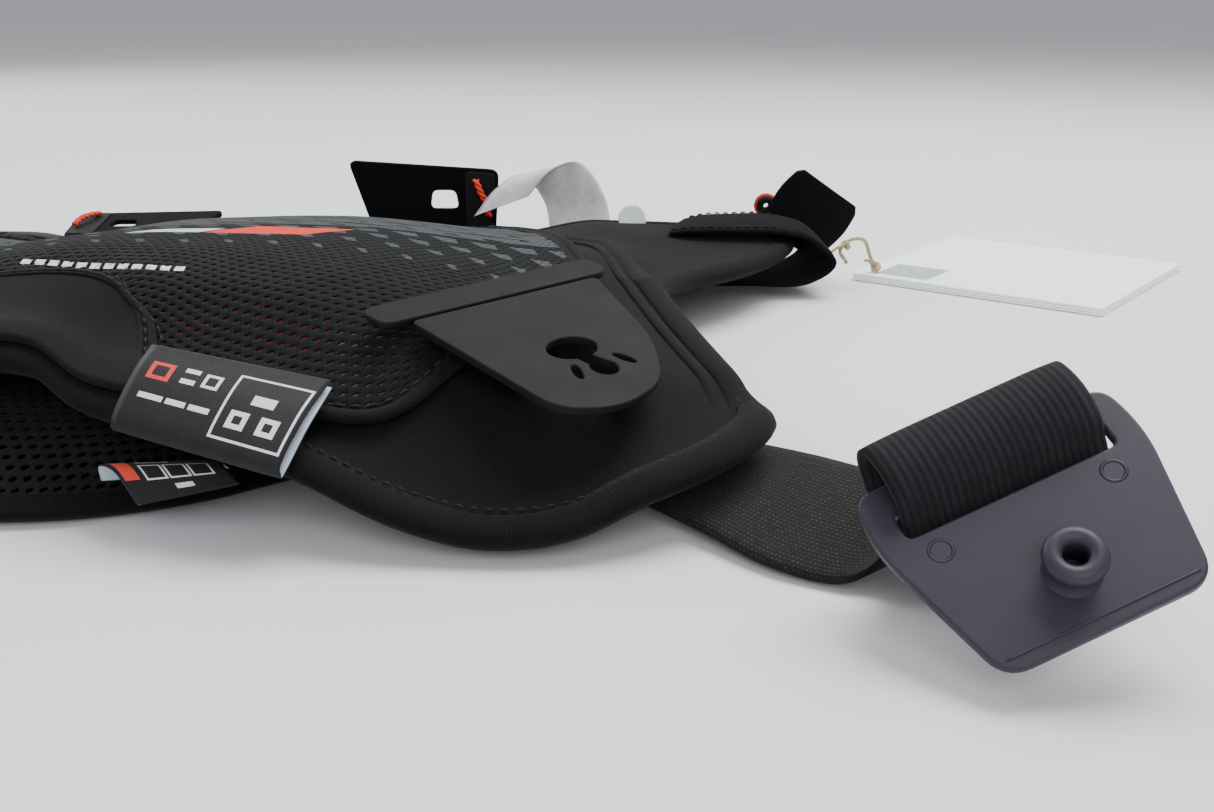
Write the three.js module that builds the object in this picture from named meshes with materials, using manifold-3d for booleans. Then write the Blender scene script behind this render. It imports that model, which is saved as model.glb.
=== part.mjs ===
// Soft chest and back protector for a motorcyclist, folded shut as it is stored: the back panel lies
// on the table and the front panel lies on it, hinged at the shoulders.
// Millimetres, +X to the wearer's left, +Y towards the neck, +Z up from the table.
import * as THREE from 'three';
import { mergeVertices } from 'three/addons/utils/BufferGeometryUtils.js';
import Module from 'manifold-3d';

const wasm = await Module();
wasm.setup();

// ---- driving dimensions -------------------------------------------------------------------------
const GAP = 0.35;                 // clearance between pieces that touch
const STRAP_WIDTH = 40;           // elastic side strap
const STRAP_THICKNESS = 1.8;
const FRONT_CARRIER = 5;          // neoprene carrier of the front panel
const LINER = 1.2;
const COVER = 1.2;
const PAD_MAX = 5;                // impact pad in the middle of the chest
const PAD_EDGE = 0.9;
const BINDING_RADIUS = 2.8;
const BINDING_CLEARANCE = 1;      // between a binding's core line circle and the layers it closes
const PAD_SEAT = 1.6;             // clearance under the impact pad
const COVER_SEAT = 1.5;           // clearance between the pad and the mesh over it
const LAYER_ROOM = 0.4;           // least clearance kept where stacked layers are cut back
const BACK_SKIN = 1.5;
const HEM_BLEND = 42;             // how far the front hem curls down
const FOLD_ROOM = 0.7;            // least room on each side of a folding line
const PLATE_THICKNESS = 2.4;
const FLAP_THICKNESS = 2;
const TAG_SIZE = 100;
const TAG_THICKNESS = 3;
const TWINE_RADIUS = 0.8;

const EDGE_INSET = BINDING_RADIUS + BINDING_CLEARANCE;

const v3 = (x, y, z) => new THREE.Vector3(x, y, z);

// ---- colours of the materials -------------------------------------------------------------------
const finish = (color, roughness, metalness = 0) =>
  new THREE.MeshStandardMaterial({ color, roughness, metalness });
const NEOPRENE = finish(0x2b2a2c, 0.85);
const MESH_FABRIC = finish(0x2a2d2e, 0.75);
const SPACER_MESH = finish(0x26272a, 0.9);
const RED_FOAM = finish(0x9c2a22, 0.8);
const GREY_FOAM = finish(0x4a4b4d, 0.9);
const STRETCH = finish(0x2a2829, 0.8);
const BINDING = finish(0x202124, 0.8);
const BIAS_TAPE = finish(0x4d5257, 0.55);
const NECK_RIB = finish(0x3d4446, 0.7);
const SOFT_TPU = finish(0x2e3030, 0.6);
const HARD_PLASTIC = finish(0x3c3c46, 0.4);
const ELASTIC = finish(0x2c2e2c, 0.85);
const VELOUR = finish(0x17171c, 0.95);
const BLACK_LABEL = finish(0x151517, 0.6);
const WHITE_SATIN = finish(0xd8d6d4, 0.5);
const ORANGE_CORD = finish(0xc33a26, 0.7);
const PALE_RUBBER = finish(0xb9bfc0, 0.6);
const CARD = finish(0xe9ecee, 0.6);
const JUTE = finish(0xb9a683, 0.9);

// ---- geometry helpers ---------------------------------------------------------------------------

// A smooth curve through a few (position, value) pairs.
function profile(pairs) {
  const curve = new THREE.SplineCurve(pairs.map(([at, value]) => new THREE.Vector2(at, value)));
  const samples = curve.getPoints(pairs.length * 12);
  return (at) => {
    if (at <= samples[0].x) return samples[0].y;
    for (let k = 1; k < samples.length; k += 1) {
      if (at <= samples[k].x) {
        const share = (at - samples[k - 1].x) / (samples[k].x - samples[k - 1].x);
        return THREE.MathUtils.lerp(samples[k - 1].y, samples[k].y, share);
      }
    }
    return samples[samples.length - 1].y;
  };
}

// A closed outline, symmetric about x = 0, from the points of its +X half.
class Outline {
  constructor(halfPoints, inset = 0) {
    const mirroredHalf = halfPoints.slice(1, -1).reverse().map(([x, y]) => [-x, y]);
    const points = [...halfPoints, ...mirroredHalf].map(([x, y]) => v3(x, y, 0));
    this.curve = new THREE.CatmullRomCurve3(points, true, 'centripetal');
    this.curve.arcLengthDivisions = 600;
    this.inset = inset;
  }

  // The plan position at a share of the whole length, counted from the hem's middle.
  at(share) {
    const where = share - Math.floor(share);
    const point = this.curve.getPointAt(where);
    const tangent = this.curve.getTangentAt(where);
    return [point.x - tangent.y * this.inset, point.y + tangent.x * this.inset];
  }

  insetBy(distance) {
    const copy = Object.create(this);
    copy.inset = this.inset + distance;
    return copy;
  }
}

// A patch that fills an outline: across from 0 to 1 is left to right, along is hem to neck.
function coonsPatch(outline, hemShare, neckShare) {
  const side = neckShare - hemShare;
  const bottom = (u) => outline.at(-hemShare + 2 * hemShare * u);
  const top = (u) => outline.at(1 - neckShare - (1 - 2 * neckShare) * u);
  const right = (v) => outline.at(hemShare + side * v);
  const left = (v) => outline.at(-hemShare - side * v);
  return (u, v) => [0, 1].map((k) => {
    const ruledAlong = (1 - v) * bottom(u)[k] + v * top(u)[k];
    const ruledAcross = (1 - u) * left(v)[k] + u * right(v)[k];
    const corners = (1 - u) * (1 - v) * bottom(0)[k] + u * (1 - v) * bottom(1)[k]
      + (1 - u) * v * top(0)[k] + u * v * top(1)[k];
    return ruledAlong + ruledAcross - corners;
  });
}

// A closed solid between an upper and a lower grid of points.
function slab(columns, rows, upper, lower) {
  const positions = [];
  const index = [];
  const stride = columns + 1;
  const layer = stride * (rows + 1);
  for (const surface of [upper, lower]) {
    for (let j = 0; j <= rows; j += 1) {
      for (let i = 0; i <= columns; i += 1) {
        positions.push(...surface(i / columns, j / rows).toArray());
      }
    }
  }
  const quad = (a, b, c, d) => index.push(a, b, c, a, c, d);
  const at = (i, j) => j * stride + i;
  for (let j = 0; j < rows; j += 1) {
    for (let i = 0; i < columns; i += 1) {
      quad(at(i, j), at(i + 1, j), at(i + 1, j + 1), at(i, j + 1));
      quad(layer + at(i, j), layer + at(i, j + 1), layer + at(i + 1, j + 1), layer + at(i + 1, j));
    }
  }
  for (let i = 0; i < columns; i += 1) {
    quad(layer + at(i, 0), layer + at(i + 1, 0), at(i + 1, 0), at(i, 0));
    quad(layer + at(i + 1, rows), layer + at(i, rows), at(i, rows), at(i + 1, rows));
  }
  for (let j = 0; j < rows; j += 1) {
    quad(layer + at(columns, j), layer + at(columns, j + 1), at(columns, j + 1), at(columns, j));
    quad(layer + at(0, j + 1), layer + at(0, j), at(0, j), at(0, j + 1));
  }
  const geometry = new THREE.BufferGeometry();
  geometry.setAttribute('position', new THREE.Float32BufferAttribute(positions, 3));
  geometry.setIndex(index);
  geometry.computeVertexNormals();
  return geometry;
}

// A flat band of fabric through stations, each a centre and a half-width vector.
function band(stations, thickness, steps, columns = 2) {
  const centres = new THREE.CatmullRomCurve3(stations.map(([centre]) => centre), false, 'centripetal');
  const widths = new THREE.CatmullRomCurve3(stations.map(([, half]) => half), false, 'centripetal');
  const offset = (side) => (u, v) => {
    const centre = centres.getPoint(v);
    const half = widths.getPoint(v);
    const normal = v3(0, 0, 0).crossVectors(half, centres.getTangent(v)).normalize();
    return centre.addScaledVector(half, 2 * u - 1).addScaledVector(normal, side * thickness / 2);
  };
  return slab(columns, steps, offset(1), offset(-1));
}

// A round cord or tape roll along a curve.
function roll(points, radius, sides, steps) {
  const section = new THREE.Shape();
  for (let k = 0; k < sides; k += 1) {
    const angle = (2 * Math.PI * k) / sides;
    const corner = [radius * Math.cos(angle), radius * Math.sin(angle)];
    if (k === 0) section.moveTo(...corner);
    else section.lineTo(...corner);
  }
  section.closePath();
  const extrudePath = new THREE.CatmullRomCurve3(points, false, 'centripetal');
  return new THREE.ExtrudeGeometry(section, { steps, extrudePath, bevelEnabled: false });
}

// A closed outline of straight sides with rounded corners, as a THREE.Shape or Path.
function roundedPolygon(corners, radius, Kind = THREE.Shape) {
  const path = new Kind();
  corners.forEach(([x, y], k) => {
    const corner = new THREE.Vector2(x, y);
    const before = new THREE.Vector2(...corners[(k + corners.length - 1) % corners.length]);
    const after = new THREE.Vector2(...corners[(k + 1) % corners.length]);
    const start = before.sub(corner).setLength(radius).add(corner);
    const end = after.sub(corner).setLength(radius).add(corner);
    if (k === 0) path.moveTo(start.x, start.y);
    else path.lineTo(start.x, start.y);
    path.quadraticCurveTo(x, y, end.x, end.y);
  });
  path.closePath();
  return path;
}

function sheet(shape, thickness, curveSegments = 4) {
  const geometry = new THREE.ExtrudeGeometry(shape, {
    depth: thickness, bevelEnabled: false, curveSegments,
  });
  return geometry.translate(0, 0, -thickness / 2);
}

function toManifold(geometry) {
  const bare = geometry.clone();
  bare.deleteAttribute('normal');
  bare.deleteAttribute('uv');
  const merged = mergeVertices(bare, 1e-4);
  return new wasm.Manifold(new wasm.Mesh({
    numProp: 3,
    vertProperties: new Float32Array(merged.attributes.position.array),
    triVerts: new Uint32Array(merged.index.array),
  }));
}

function fromManifold(solid) {
  const mesh = solid.getMesh();
  const geometry = new THREE.BufferGeometry();
  geometry.setAttribute('position', new THREE.BufferAttribute(mesh.vertProperties, 3));
  geometry.setIndex(new THREE.BufferAttribute(mesh.triVerts, 1));
  geometry.computeVertexNormals();
  return geometry;
}

// A solid cut back from the room that a neighbour needs.
const cutBack = (geometry, room) =>
  fromManifold(toManifold(geometry).subtract(toManifold(room)));

// The rooms of a piece that another one lies on or under: where it is, and a little above and below.
const roomsAround = (geometry) =>
  [-LAYER_ROOM, 0, LAYER_ROOM].map((rise) => geometry.clone().translate(0, 0, rise));

// A copy reflected to the wearer's right side, its faces still pointing out.
function reflected(geometry) {
  const copy = mergeVertices(geometry.clone().deleteAttribute('uv').deleteAttribute('normal'), 1e-4);
  copy.scale(-1, 1, 1);
  const index = copy.index.array;
  for (let k = 0; k < index.length; k += 3) {
    [index[k], index[k + 1]] = [index[k + 1], index[k]];
  }
  copy.computeVertexNormals();
  return copy;
}

const part = new THREE.Group();

function add(name, geometry, material) {
  const mesh = new THREE.Mesh(geometry, material);
  mesh.name = name;
  part.add(mesh);
  return mesh;
}

function addPair(name, geometry, material) {
  add(`${name}_left`, geometry, material);
  add(`${name}_right`, reflected(geometry), material);
}

// ---- front panel --------------------------------------------------------------------------------

const FRONT_HALF = [
  [0, -113], [13, -115], [27, -124], [48, -131], [72, -140], [100, -149], [130, -151], [152, -144],
  [170, -130], [179, -114], [174, -92], [164, -55], [157, -24], [159, 0], [169, 26], [188, 50],
  [202, 71], [212, 94], [208, 110], [192, 119], [165, 123], [125, 124], [92, 119], [68, 101], [38, 89],
  [0, 85],
];
const FRONT_HEM_SHARE = 0.133;
const FRONT_NECK_SHARE = 0.361;
const frontOutline = new Outline(FRONT_HALF);

const hemAt = profile([[0, -113], [13, -115], [27, -124], [48, -131], [72, -140], [100, -149],
  [130, -151], [152, -144], [170, -130], [179, -114]]);
const hemHeight = profile([[0, 35.5], [13, 34], [27, 28.5], [42, 26.5], [56, 24.5], [68, 22], [80, 18.5],
  [96, 12.5], [112, 8.6], [125, 8.4], [136, 10.2], [146, 14], [153, 16], [172, 19], [180, 20.5]]);
const ridgeHeight = profile([[-113, 36], [-88, 41.5], [-52, 42], [8, 34.5], [58, 28.5], [90, 23.5],
  [130, 18.5]]);
const edgeHeight = profile([[-151, 9], [-130, 16.5], [-102, 20.5], [-55, 27], [-25, 31.5], [0, 34], [28, 31],
  [62, 23], [90, 18], [130, 15]]);
const halfWidth = profile([[-151, 150], [-130, 170], [-114, 179], [-92, 174], [-55, 164], [-24, 157],
  [0, 159], [26, 169], [50, 188], [71, 202], [94, 212], [130, 212]]);
const WING_FOLD = [138, 158];     // the wing falls away from the lobe's folded edge between these
const wingDrop = profile([[-30, 0], [0, 8.5], [26, 9.5], [50, 5.5], [71, 2], [90, 0]]);
const WING_RISE = [104, 138];     // towards the shoulder the wing stands up between these
const wingRise = profile([[40, 0], [70, 1], [90, 3.6], [108, 5.2], [130, 5.2]]);

const SAG = 9;                    // how far the soft panel sinks on the wearer's right
const SAG_AT = -60;
const SAG_REACH = 45;

// Height of the carrier's upper face.
function frontHeight(x, y) {
  const across = Math.min(Math.abs(x) / halfWidth(y), 1);
  const sunk = Math.exp(-(((x - SAG_AT) / SAG_REACH) ** 2)) * (1 - THREE.MathUtils.smoothstep(y, 60, 110));
  const folded = wingDrop(y) * THREE.MathUtils.smoothstep(Math.abs(x), ...WING_FOLD);
  const raised = wingRise(y) * THREE.MathUtils.smoothstep(Math.abs(x), ...WING_RISE);
  const plain = THREE.MathUtils.lerp(ridgeHeight(y), edgeHeight(y), across ** 2.3);
  const body = plain - SAG * sunk - folded + raised;
  const fromHem = THREE.MathUtils.smoothstep(y - hemAt(Math.abs(x)), 0, HEM_BLEND);
  return THREE.MathUtils.lerp(hemHeight(Math.abs(x)), body, fromHem);
}

function frontLayer(inset, above, below, columns, rows) {
  const patch = coonsPatch(frontOutline.insetBy(inset), FRONT_HEM_SHARE, FRONT_NECK_SHARE);
  const surface = (offset) => (u, v) => {
    const [x, y] = patch(u, v);
    return v3(x, y, frontHeight(x, y) + offset);
  };
  return slab(columns, rows, surface(above), surface(below));
}

// Points along a share of an outline's edge.
const bindingCurve = (outline, height, from, to, count) => {
  const points = [];
  for (let k = 0; k <= count; k += 1) {
    const [x, y] = outline.at(from + ((to - from) * k) / count);
    points.push(v3(x, y, height(x, y)));
  }
  return points;
};
const BINDING_SLIT = 0.0006;      // share of the length left between two tapes' ends
const WING_START = 0.2360;        // where the armhole's tape ends and the wing's begins
const WING_END = 0.4212;          // where the wing's tape ends and the neck band begins

// The edge is closed by four tapes: round the hem and armholes, round each wing, and along the neck.
function frontTape(from, to, count, steps) {
  const path = bindingCurve(frontOutline, (x, y) => frontHeight(x, y) - FRONT_CARRIER / 2,
    from + BINDING_SLIT, to - BINDING_SLIT, count);
  return { tape: roll(path, BINDING_RADIUS, 6, steps), room: roll(path, BINDING_RADIUS + GAP, 6, steps) };
}
const hemTape = frontTape(-WING_START, WING_START, 32, 44);
const wingTape = frontTape(WING_START, WING_END, 16, 24);
const neckTape = frontTape(WING_END, 1 - WING_END, 8, 12);
add('front_binding', hemTape.tape, BINDING);
addPair('wing_binding', wingTape.tape, BIAS_TAPE);
add('neck_band', neckTape.tape, NECK_RIB);

const linerTop = -FRONT_CARRIER - GAP;
const edgeRooms = [hemTape.room, wingTape.room, reflected(wingTape.room), neckTape.room];
const carrier = edgeRooms.reduce(cutBack, frontLayer(EDGE_INSET, 0, -FRONT_CARRIER, 18, 14));
add('front_carrier', carrier, NEOPRENE);
add('front_liner', frontLayer(EDGE_INSET, linerTop, linerTop - LINER, 18, 14), SPACER_MESH);

// The chest's impact pad and the perforated mesh over it.
const MESH_HALF = [
  [0, -102], [30, -105], [48, -117], [72, -126], [94, -126], [112, -106], [129, -74], [135, -50],
  [130, -20], [122, 14], [112, 52], [96, 84], [70, 82], [38, 74], [0, 70],
];
const meshOutline = new Outline(MESH_HALF);
const MESH_HEM_SHARE = 0.142;
const MESH_NECK_SHARE = 0.395;

// How far the pad stands above the carrier, from its thin rim to its full thickness.
const padRise = (u, v) => {
  const across = THREE.MathUtils.smoothstep(Math.min(u, 1 - u), 0, 0.26);
  const along = THREE.MathUtils.smoothstep(Math.min(v, 1 - v), 0, 0.22);
  return PAD_EDGE + (PAD_MAX - PAD_EDGE) * across * along;
};

function meshLayer(inset, above, below, columns, rows) {
  const patch = coonsPatch(meshOutline.insetBy(inset), MESH_HEM_SHARE, MESH_NECK_SHARE);
  const surface = (offset) => (u, v) => {
    const [x, y] = patch(u, v);
    return v3(x, y, frontHeight(x, y) + offset(u, v));
  };
  return slab(columns, rows, surface(above), surface(below));
}

const padTop = (u, v) => PAD_SEAT + padRise(u, v);
const pad = roomsAround(carrier).reduce(cutBack, meshLayer(3, padTop, () => PAD_SEAT, 14, 10));
add('chest_impact_pad', pad, RED_FOAM);
const meshSheet = meshLayer(1.5, (u, v) => padTop(u, v) + COVER_SEAT + COVER,
  (u, v) => padTop(u, v) + COVER_SEAT, 14, 10);

// Raised piping down both sides of the mesh.
const pipingPoints = bindingCurve(meshOutline.insetBy(-1.2), (x, y) => frontHeight(x, y) + 2.2,
  0.2, 0.385, 16);
addPair('mesh_piping', roll(pipingPoints, 1.5, 6, 26), BINDING);

// Smooth stretch piece at the middle of the hem, laid over the mesh's lower edge.
const INSERT_RISE = 5.7;
const insertWidth = profile([[0, 42], [0.3, 39], [0.75, 34], [1, 27]]);
function insertPoint(u, v, offset) {
  const x = (2 * u - 1) * insertWidth(v);
  const near = hemAt(Math.abs(x)) + BINDING_RADIUS + 1.2;
  const far = -80 - 14 * Math.abs(2 * u - 1) ** 3;
  const y = THREE.MathUtils.lerp(near, far, v);
  const rise = INSERT_RISE + 3 * THREE.MathUtils.smoothstep(y, -106, -80);
  return v3(x, y, frontHeight(x, y) + rise + offset);
}
add('centre_insert', slab(12, 8, (u, v) => insertPoint(u, v, COVER), (u, v) => insertPoint(u, v, 0)),
  STRETCH);

// ---- keyhole flaps on the front lobes -----------------------------------------------------------

const FLAP_HINGE = v3(118.5, -92, 42);
const flapAlong = v3(31.5, -34, -12.5).normalize();
const flapAcross = v3(45, 40, 2).addScaledVector(flapAlong, -v3(45, 40, 2).dot(flapAlong)).normalize();
const flapNormal = v3(0, 0, 0).crossVectors(flapAlong, flapAcross);
const flapFrame = new THREE.Matrix4().makeBasis(flapAlong, flapAcross, flapNormal)
  .setPosition(FLAP_HINGE);

const flapShape = roundedPolygon([[1.6, -29], [46, -23], [52, -10], [48, 6], [32, 18],
  [1.6, 27]], 4);
const KEY_CENTRE = [27, -3];
const NECK_END = [37, -2];
const KEY_HALF = [4.6, 6.6];
const NECK_RADIUS = 3.3;
const NECK_HALF = 2.2;
const keyhole = new THREE.Path();
const neckAngle = Math.asin(NECK_HALF / NECK_RADIUS);
keyhole.absellipse(...KEY_CENTRE, ...KEY_HALF, 0.32, 2 * Math.PI - 0.32);
keyhole.absarc(...NECK_END, NECK_RADIUS, Math.PI + neckAngle, 3 * Math.PI - neckAngle);
keyhole.closePath();
flapShape.holes.push(keyhole);
for (const side of [-1, 1]) {
  const slit = new THREE.Path();
  slit.absellipse(NECK_END[0] - 1, NECK_END[1] + side * 7, 3, 1.1, 0, 2 * Math.PI, false, side * 0.4);
  flapShape.holes.push(slit);
}
addPair('keyhole_flap', sheet(flapShape, FLAP_THICKNESS, 5).applyMatrix4(flapFrame), SOFT_TPU);

// The strip that the flap is moulded to, with its round ends.
const baseShape = roundedPolygon([[-9, -36], [-0.2, -36], [-0.2, 33], [-9, 33]], 4);
const flapBase = sheet(baseShape, FLAP_THICKNESS, 4).applyMatrix4(flapFrame);
addPair('flap_base', flapBase, SOFT_TPU);
const meshCover = [pad, flapBase, reflected(flapBase)].flatMap(roomsAround).reduce(cutBack, meshSheet);
add('front_mesh_cover', meshCover, MESH_FABRIC);

// ---- back panel ---------------------------------------------------------------------------------

const BACK_HALF = [
  [0, -132], [25, -130], [48, -121], [72, -102], [98, -86], [117, -76], [124, -56], [120, -12],
  [112, 38], [122, 88], [150, 116], [160, 141], [142, 158], [102, 168], [70, 187], [38, 201], [0, 204.4],
];
const BACK_HEM_SHARE = 0.1;
const BACK_NECK_SHARE = 0.36;
const backOutline = new Outline(BACK_HALF);
const spineHeight = profile([[-132, 14], [-122, 21], [-90, 19], [-40, 16], [10, 14], [60, 11.5], [90, 9.5],
  [112, 7.2], [160, 7], [207, 8.5]]);
const BACK_EDGE = 6;

function backHeight(u, v, y) {
  const rim = THREE.MathUtils.smoothstep(Math.min(u, 1 - u, v, 1 - v), 0, 0.14);
  return THREE.MathUtils.lerp(BACK_EDGE, spineHeight(y), Math.sqrt(rim));
}

function backLayer(above, below, columns, rows) {
  const patch = coonsPatch(backOutline.insetBy(EDGE_INSET), BACK_HEM_SHARE, BACK_NECK_SHARE);
  const surface = (height) => (u, v) => {
    const [x, y] = patch(u, v);
    return v3(x, y, height(backHeight(u, v, y)));
  };
  return slab(columns, rows, surface(above), surface(below));
}

const BACK_BINDING_STEPS = 66;
const backBindingPath = bindingCurve(backOutline, () => BINDING_RADIUS + 0.2,
  BINDING_SLIT, 1 - BINDING_SLIT, 54);
const backBindingRoom = roll(backBindingPath, BINDING_RADIUS + GAP, 6, BACK_BINDING_STEPS);
add('back_binding', roll(backBindingPath, BINDING_RADIUS, 6, BACK_BINDING_STEPS), BINDING);
add('back_cover', cutBack(backLayer(() => BACK_SKIN, () => 0, 12, 12), backBindingRoom), NEOPRENE);
add('back_foam_core', cutBack(
  backLayer((z) => z - LINER - GAP, () => BACK_SKIN + GAP, 12, 12), backBindingRoom), GREY_FOAM);
add('back_mesh_liner', cutBack(
  backLayer((z) => z, (z) => z - LINER, 12, 12), backBindingRoom), SPACER_MESH);

// ---- side straps and their hook plates ----------------------------------------------------------

const slotCentre = v3(213.1, -178.3, 28.7);
const plateAcross = v3(0.9115, 0.195, 0.362).normalize();
const plateUp = v3(-0.366, 0.787, 0.497);
plateUp.addScaledVector(plateAcross, -plateUp.dot(plateAcross)).normalize();
const plateNormal = v3(0, 0, 0).crossVectors(plateAcross, plateUp);
const plateFrame = new THREE.Matrix4().makeBasis(plateAcross, plateUp, plateNormal)
  .setPosition(slotCentre);

const onPlate = (up, out) => slotCentre.clone().addScaledVector(plateUp, up)
  .addScaledVector(plateNormal, out);
const plateHalf = plateAcross.clone().multiplyScalar(STRAP_WIDTH / 2 - 0.4);

// The sewn end lies on the back panel's side, under the front lobe. The free end starts at the
// lobe's edge.
const STRAP_FOLD = v3(176, -129, 7);
const strapRun = v3(0.69, -0.72, 0).normalize();
const beforeFold = STRAP_FOLD.clone().addScaledVector(strapRun, -FOLD_ROOM);
const afterFold = STRAP_FOLD.clone().addScaledVector(strapRun, FOLD_ROOM);
const strapEdge = v3(13.8, 13.2, 3.4);
addPair('side_strap_base', band([
  [v3(113, -62, 14.6), v3(13.8, 13.4, -1.5)],
  [v3(124, -73.5, 13), v3(14.2, 13.8, -0.6)],
  [v3(134, -84, 9), v3(14.2, 13.8, 0)],
  [v3(146, -96, 6), v3(14.2, 13.8, 0.6)],
  [v3(161, -111, 6), v3(14, 13.6, 1.6)],
  [beforeFold, strapEdge],
], STRAP_THICKNESS, 10, 1), ELASTIC);
addPair('side_strap', band([
  [afterFold, strapEdge],
  [v3(190, -145, 7.2), v3(14.8, 11.8, 5)],
  [v3(205, -156, 8.8), v3(16.4, 8.4, 6.2)],
  [onPlate(7, -20), plateHalf],
  [onPlate(13, -9), plateHalf],
  [onPlate(17, -1.5), plateHalf],
  [onPlate(15, 4.6), plateHalf],
  [onPlate(8, 6.6), plateHalf],
  [onPlate(2.4, 4.4), plateHalf],
  [onPlate(0, 0), plateHalf],
  [onPlate(-3, -4.2), plateHalf],
  [onPlate(-10, -5.6), plateHalf],
  [onPlate(-16, -6), plateHalf],
], STRAP_THICKNESS, 36, 1), ELASTIC);

const plateShape = roundedPolygon([[-25.5, 9.2], [-27, -2], [-19.5, -32], [19.5, -32], [27, -2],
  [25.5, 9.2]], 4);
plateShape.holes.push(roundedPolygon([[-21, -2.7], [21, -2.7], [21, 2.7], [-21, 2.7]], 1.5,
  THREE.Path));
const STUD_AT = -20.5;
const studProfile = [[2.1, -0.4], [4, -0.4], [3.9, 3.4], [5.2, 4.2], [5.3, 5.6], [4.4, 6.8],
  [2.9, 6.8], [2.1, 6.1], [2.1, -0.4]].map(([r, h]) => new THREE.Vector2(r, h));
const stud = new THREE.LatheGeometry(studProfile, 16).rotateX(Math.PI / 2)
  .translate(0, STUD_AT, PLATE_THICKNESS / 2);
const hookPlate = toManifold(sheet(plateShape, PLATE_THICKNESS, 3)).add(toManifold(stud));
addPair('hook_plate', fromManifold(hookPlate).applyMatrix4(plateFrame), HARD_PLASTIC);

// ---- shoulder straps and their end tabs ---------------------------------------------------------

const strapCross = v3(-4, 17, 0);
const strapTop = v3(-1, 16.5, 0.4);
addPair('shoulder_strap', band([
  [v3(160, 100, 6.4), strapCross],
  [v3(190, 100, 6.2), strapCross],
  [v3(214, 101, 6.6), strapCross],
  [v3(224, 102, 13.5), strapCross],
  [v3(219, 102, 22.3), strapTop],
  [v3(205, 101.5, 26), strapTop],
  [v3(188, 100.5, 26.2), strapTop],
  [v3(171, 99, 26), strapTop],
], 2, 24, 1), VELOUR);
const tabEdge = v3(12.6, 1.2, -9);
addPair('shoulder_tab', band([
  [v3(218.8, 122, 19.6), tabEdge],
  [v3(224.3, 122, 27.5), tabEdge],
  [v3(230, 121, 35.4), tabEdge],
], 2.4, 6, 1), VELOUR);
const eyelet = new THREE.Shape();
eyelet.absarc(0, 0, 4, 0, 2 * Math.PI);
const eyeletHole = new THREE.Path();
eyeletHole.absarc(0, 0, 1.2, 0, 2 * Math.PI);
eyelet.holes.push(eyeletHole);
addPair('tab_eyelet', sheet(eyelet, 2, 6).rotateX(Math.PI / 2).translate(205.8, 124.6, 29.5),
  SOFT_TPU);
addPair('neck_pull', band([
  [v3(152, 116, 24.4), v3(5.5, 1, 0)],
  [v3(152, 118, 30.8), v3(5.5, 1, 0)],
], 1.6, 2, 1), PALE_RUBBER);

// ---- labels and collar tabs ---------------------------------------------------------------------

add('woven_label', band([
  [v3(62.4, -122.7, 34.4), v3(20.2, -3.8, -3)],
  [v3(59.6, -133.4, 29.8), v3(19.5, -6.2, -3)],
  [v3(56.4, -141, 22.4), v3(19, -7, -2.8)],
], 1.2, 6, 2), BLACK_LABEL);
add('size_label', band([
  [v3(44, -125.5, 10), v3(13, 4, 0)],
  [v3(44.5, -130.5, 14.4), v3(12.5, 1.5, 0)],
  [v3(48.5, -136.2, 15), v3(12, -0.5, 0.8)],
  [v3(54, -141.5, 11.5), v3(11.5, -1.5, 3)],
], 1.2, 4, 2), BLACK_LABEL);
add('care_label', band([
  [v3(131, 164, 7.6), v3(13, 2, 0)],
  [v3(128, 166, 25), v3(13, 2, 1)],
  [v3(118, 160, 39), v3(12.4, 4.5, 2)],
  [v3(107, 150, 36), v3(11.4, 6, 3)],
  [v3(98, 142, 26), v3(10.8, 7, 3)],
], 0.8, 12, 1), WHITE_SATIN);

const collarShape = roundedPolygon([[-24, 2], [28, 0], [30, 29], [-34, 33]], 4);
collarShape.holes.push(roundedPolygon([[-1, 12], [13, 12], [13, 21], [-1, 21]], 3, THREE.Path));
const COLLAR_TAB = v3(66, 158, 10);
const COLLAR_HINGE = v3(66, 158, 9.2);
const COLLAR_LAID_BACK = THREE.MathUtils.degToRad(-80);

// The left tab stands up and the right one is laid back over the neck.
function addCollarPiece(name, geometry, material) {
  const laidBack = reflected(geometry).translate(0, -COLLAR_HINGE.y, -COLLAR_HINGE.z)
    .rotateX(COLLAR_LAID_BACK).translate(0, COLLAR_HINGE.y, COLLAR_HINGE.z);
  add(`${name}_left`, geometry, material);
  add(`${name}_right`, laidBack, material);
}
const collarTab = sheet(collarShape, 2.4, 4).rotateX(Math.PI / 2).translate(...COLLAR_TAB.toArray());
addCollarPiece('collar_tab', collarTab, VELOUR);
addCollarPiece('collar_cord', roll([
  v3(88, 155.4, 34), v3(89, 154.9, 30), v3(90.5, 154.9, 25), v3(91, 155.2, 20),
], 1.1, 6, 6), ORANGE_CORD);

// ---- twine and hang tag -------------------------------------------------------------------------

const TAG_CORNER = v3(241, 118, TAG_THICKNESS / 2 + 0.2);
const TAG_TURN = THREE.MathUtils.degToRad(7);
const tagShape = roundedPolygon([[0, 0], [TAG_SIZE, 0], [TAG_SIZE, TAG_SIZE], [0, TAG_SIZE]], 1.5);
const stringHole = new THREE.Path();
stringHole.absarc(7, 7, 2, 0, 2 * Math.PI);
tagShape.holes.push(stringHole);
add('hang_tag', sheet(tagShape, TAG_THICKNESS, 5).rotateZ(TAG_TURN - Math.PI / 4)
  .translate(...TAG_CORNER.toArray()), CARD);

const twineRoute = [
  v3(236, 104, 10), v3(233, 103, 15), v3(236, 102.5, 19), v3(241, 104, 19.5), v3(244, 108, 17),
  v3(246, 112, 13), v3(248, 115, 9), v3(250, 117, 6.5), v3(251, 118, 4.6),
];
add('tag_twine', roll(twineRoute, TWINE_RADIUS, 8, 22), JUTE);

export default part;
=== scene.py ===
import math
import bpy
import numpy as np
from mathutils import Matrix, Vector


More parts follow.
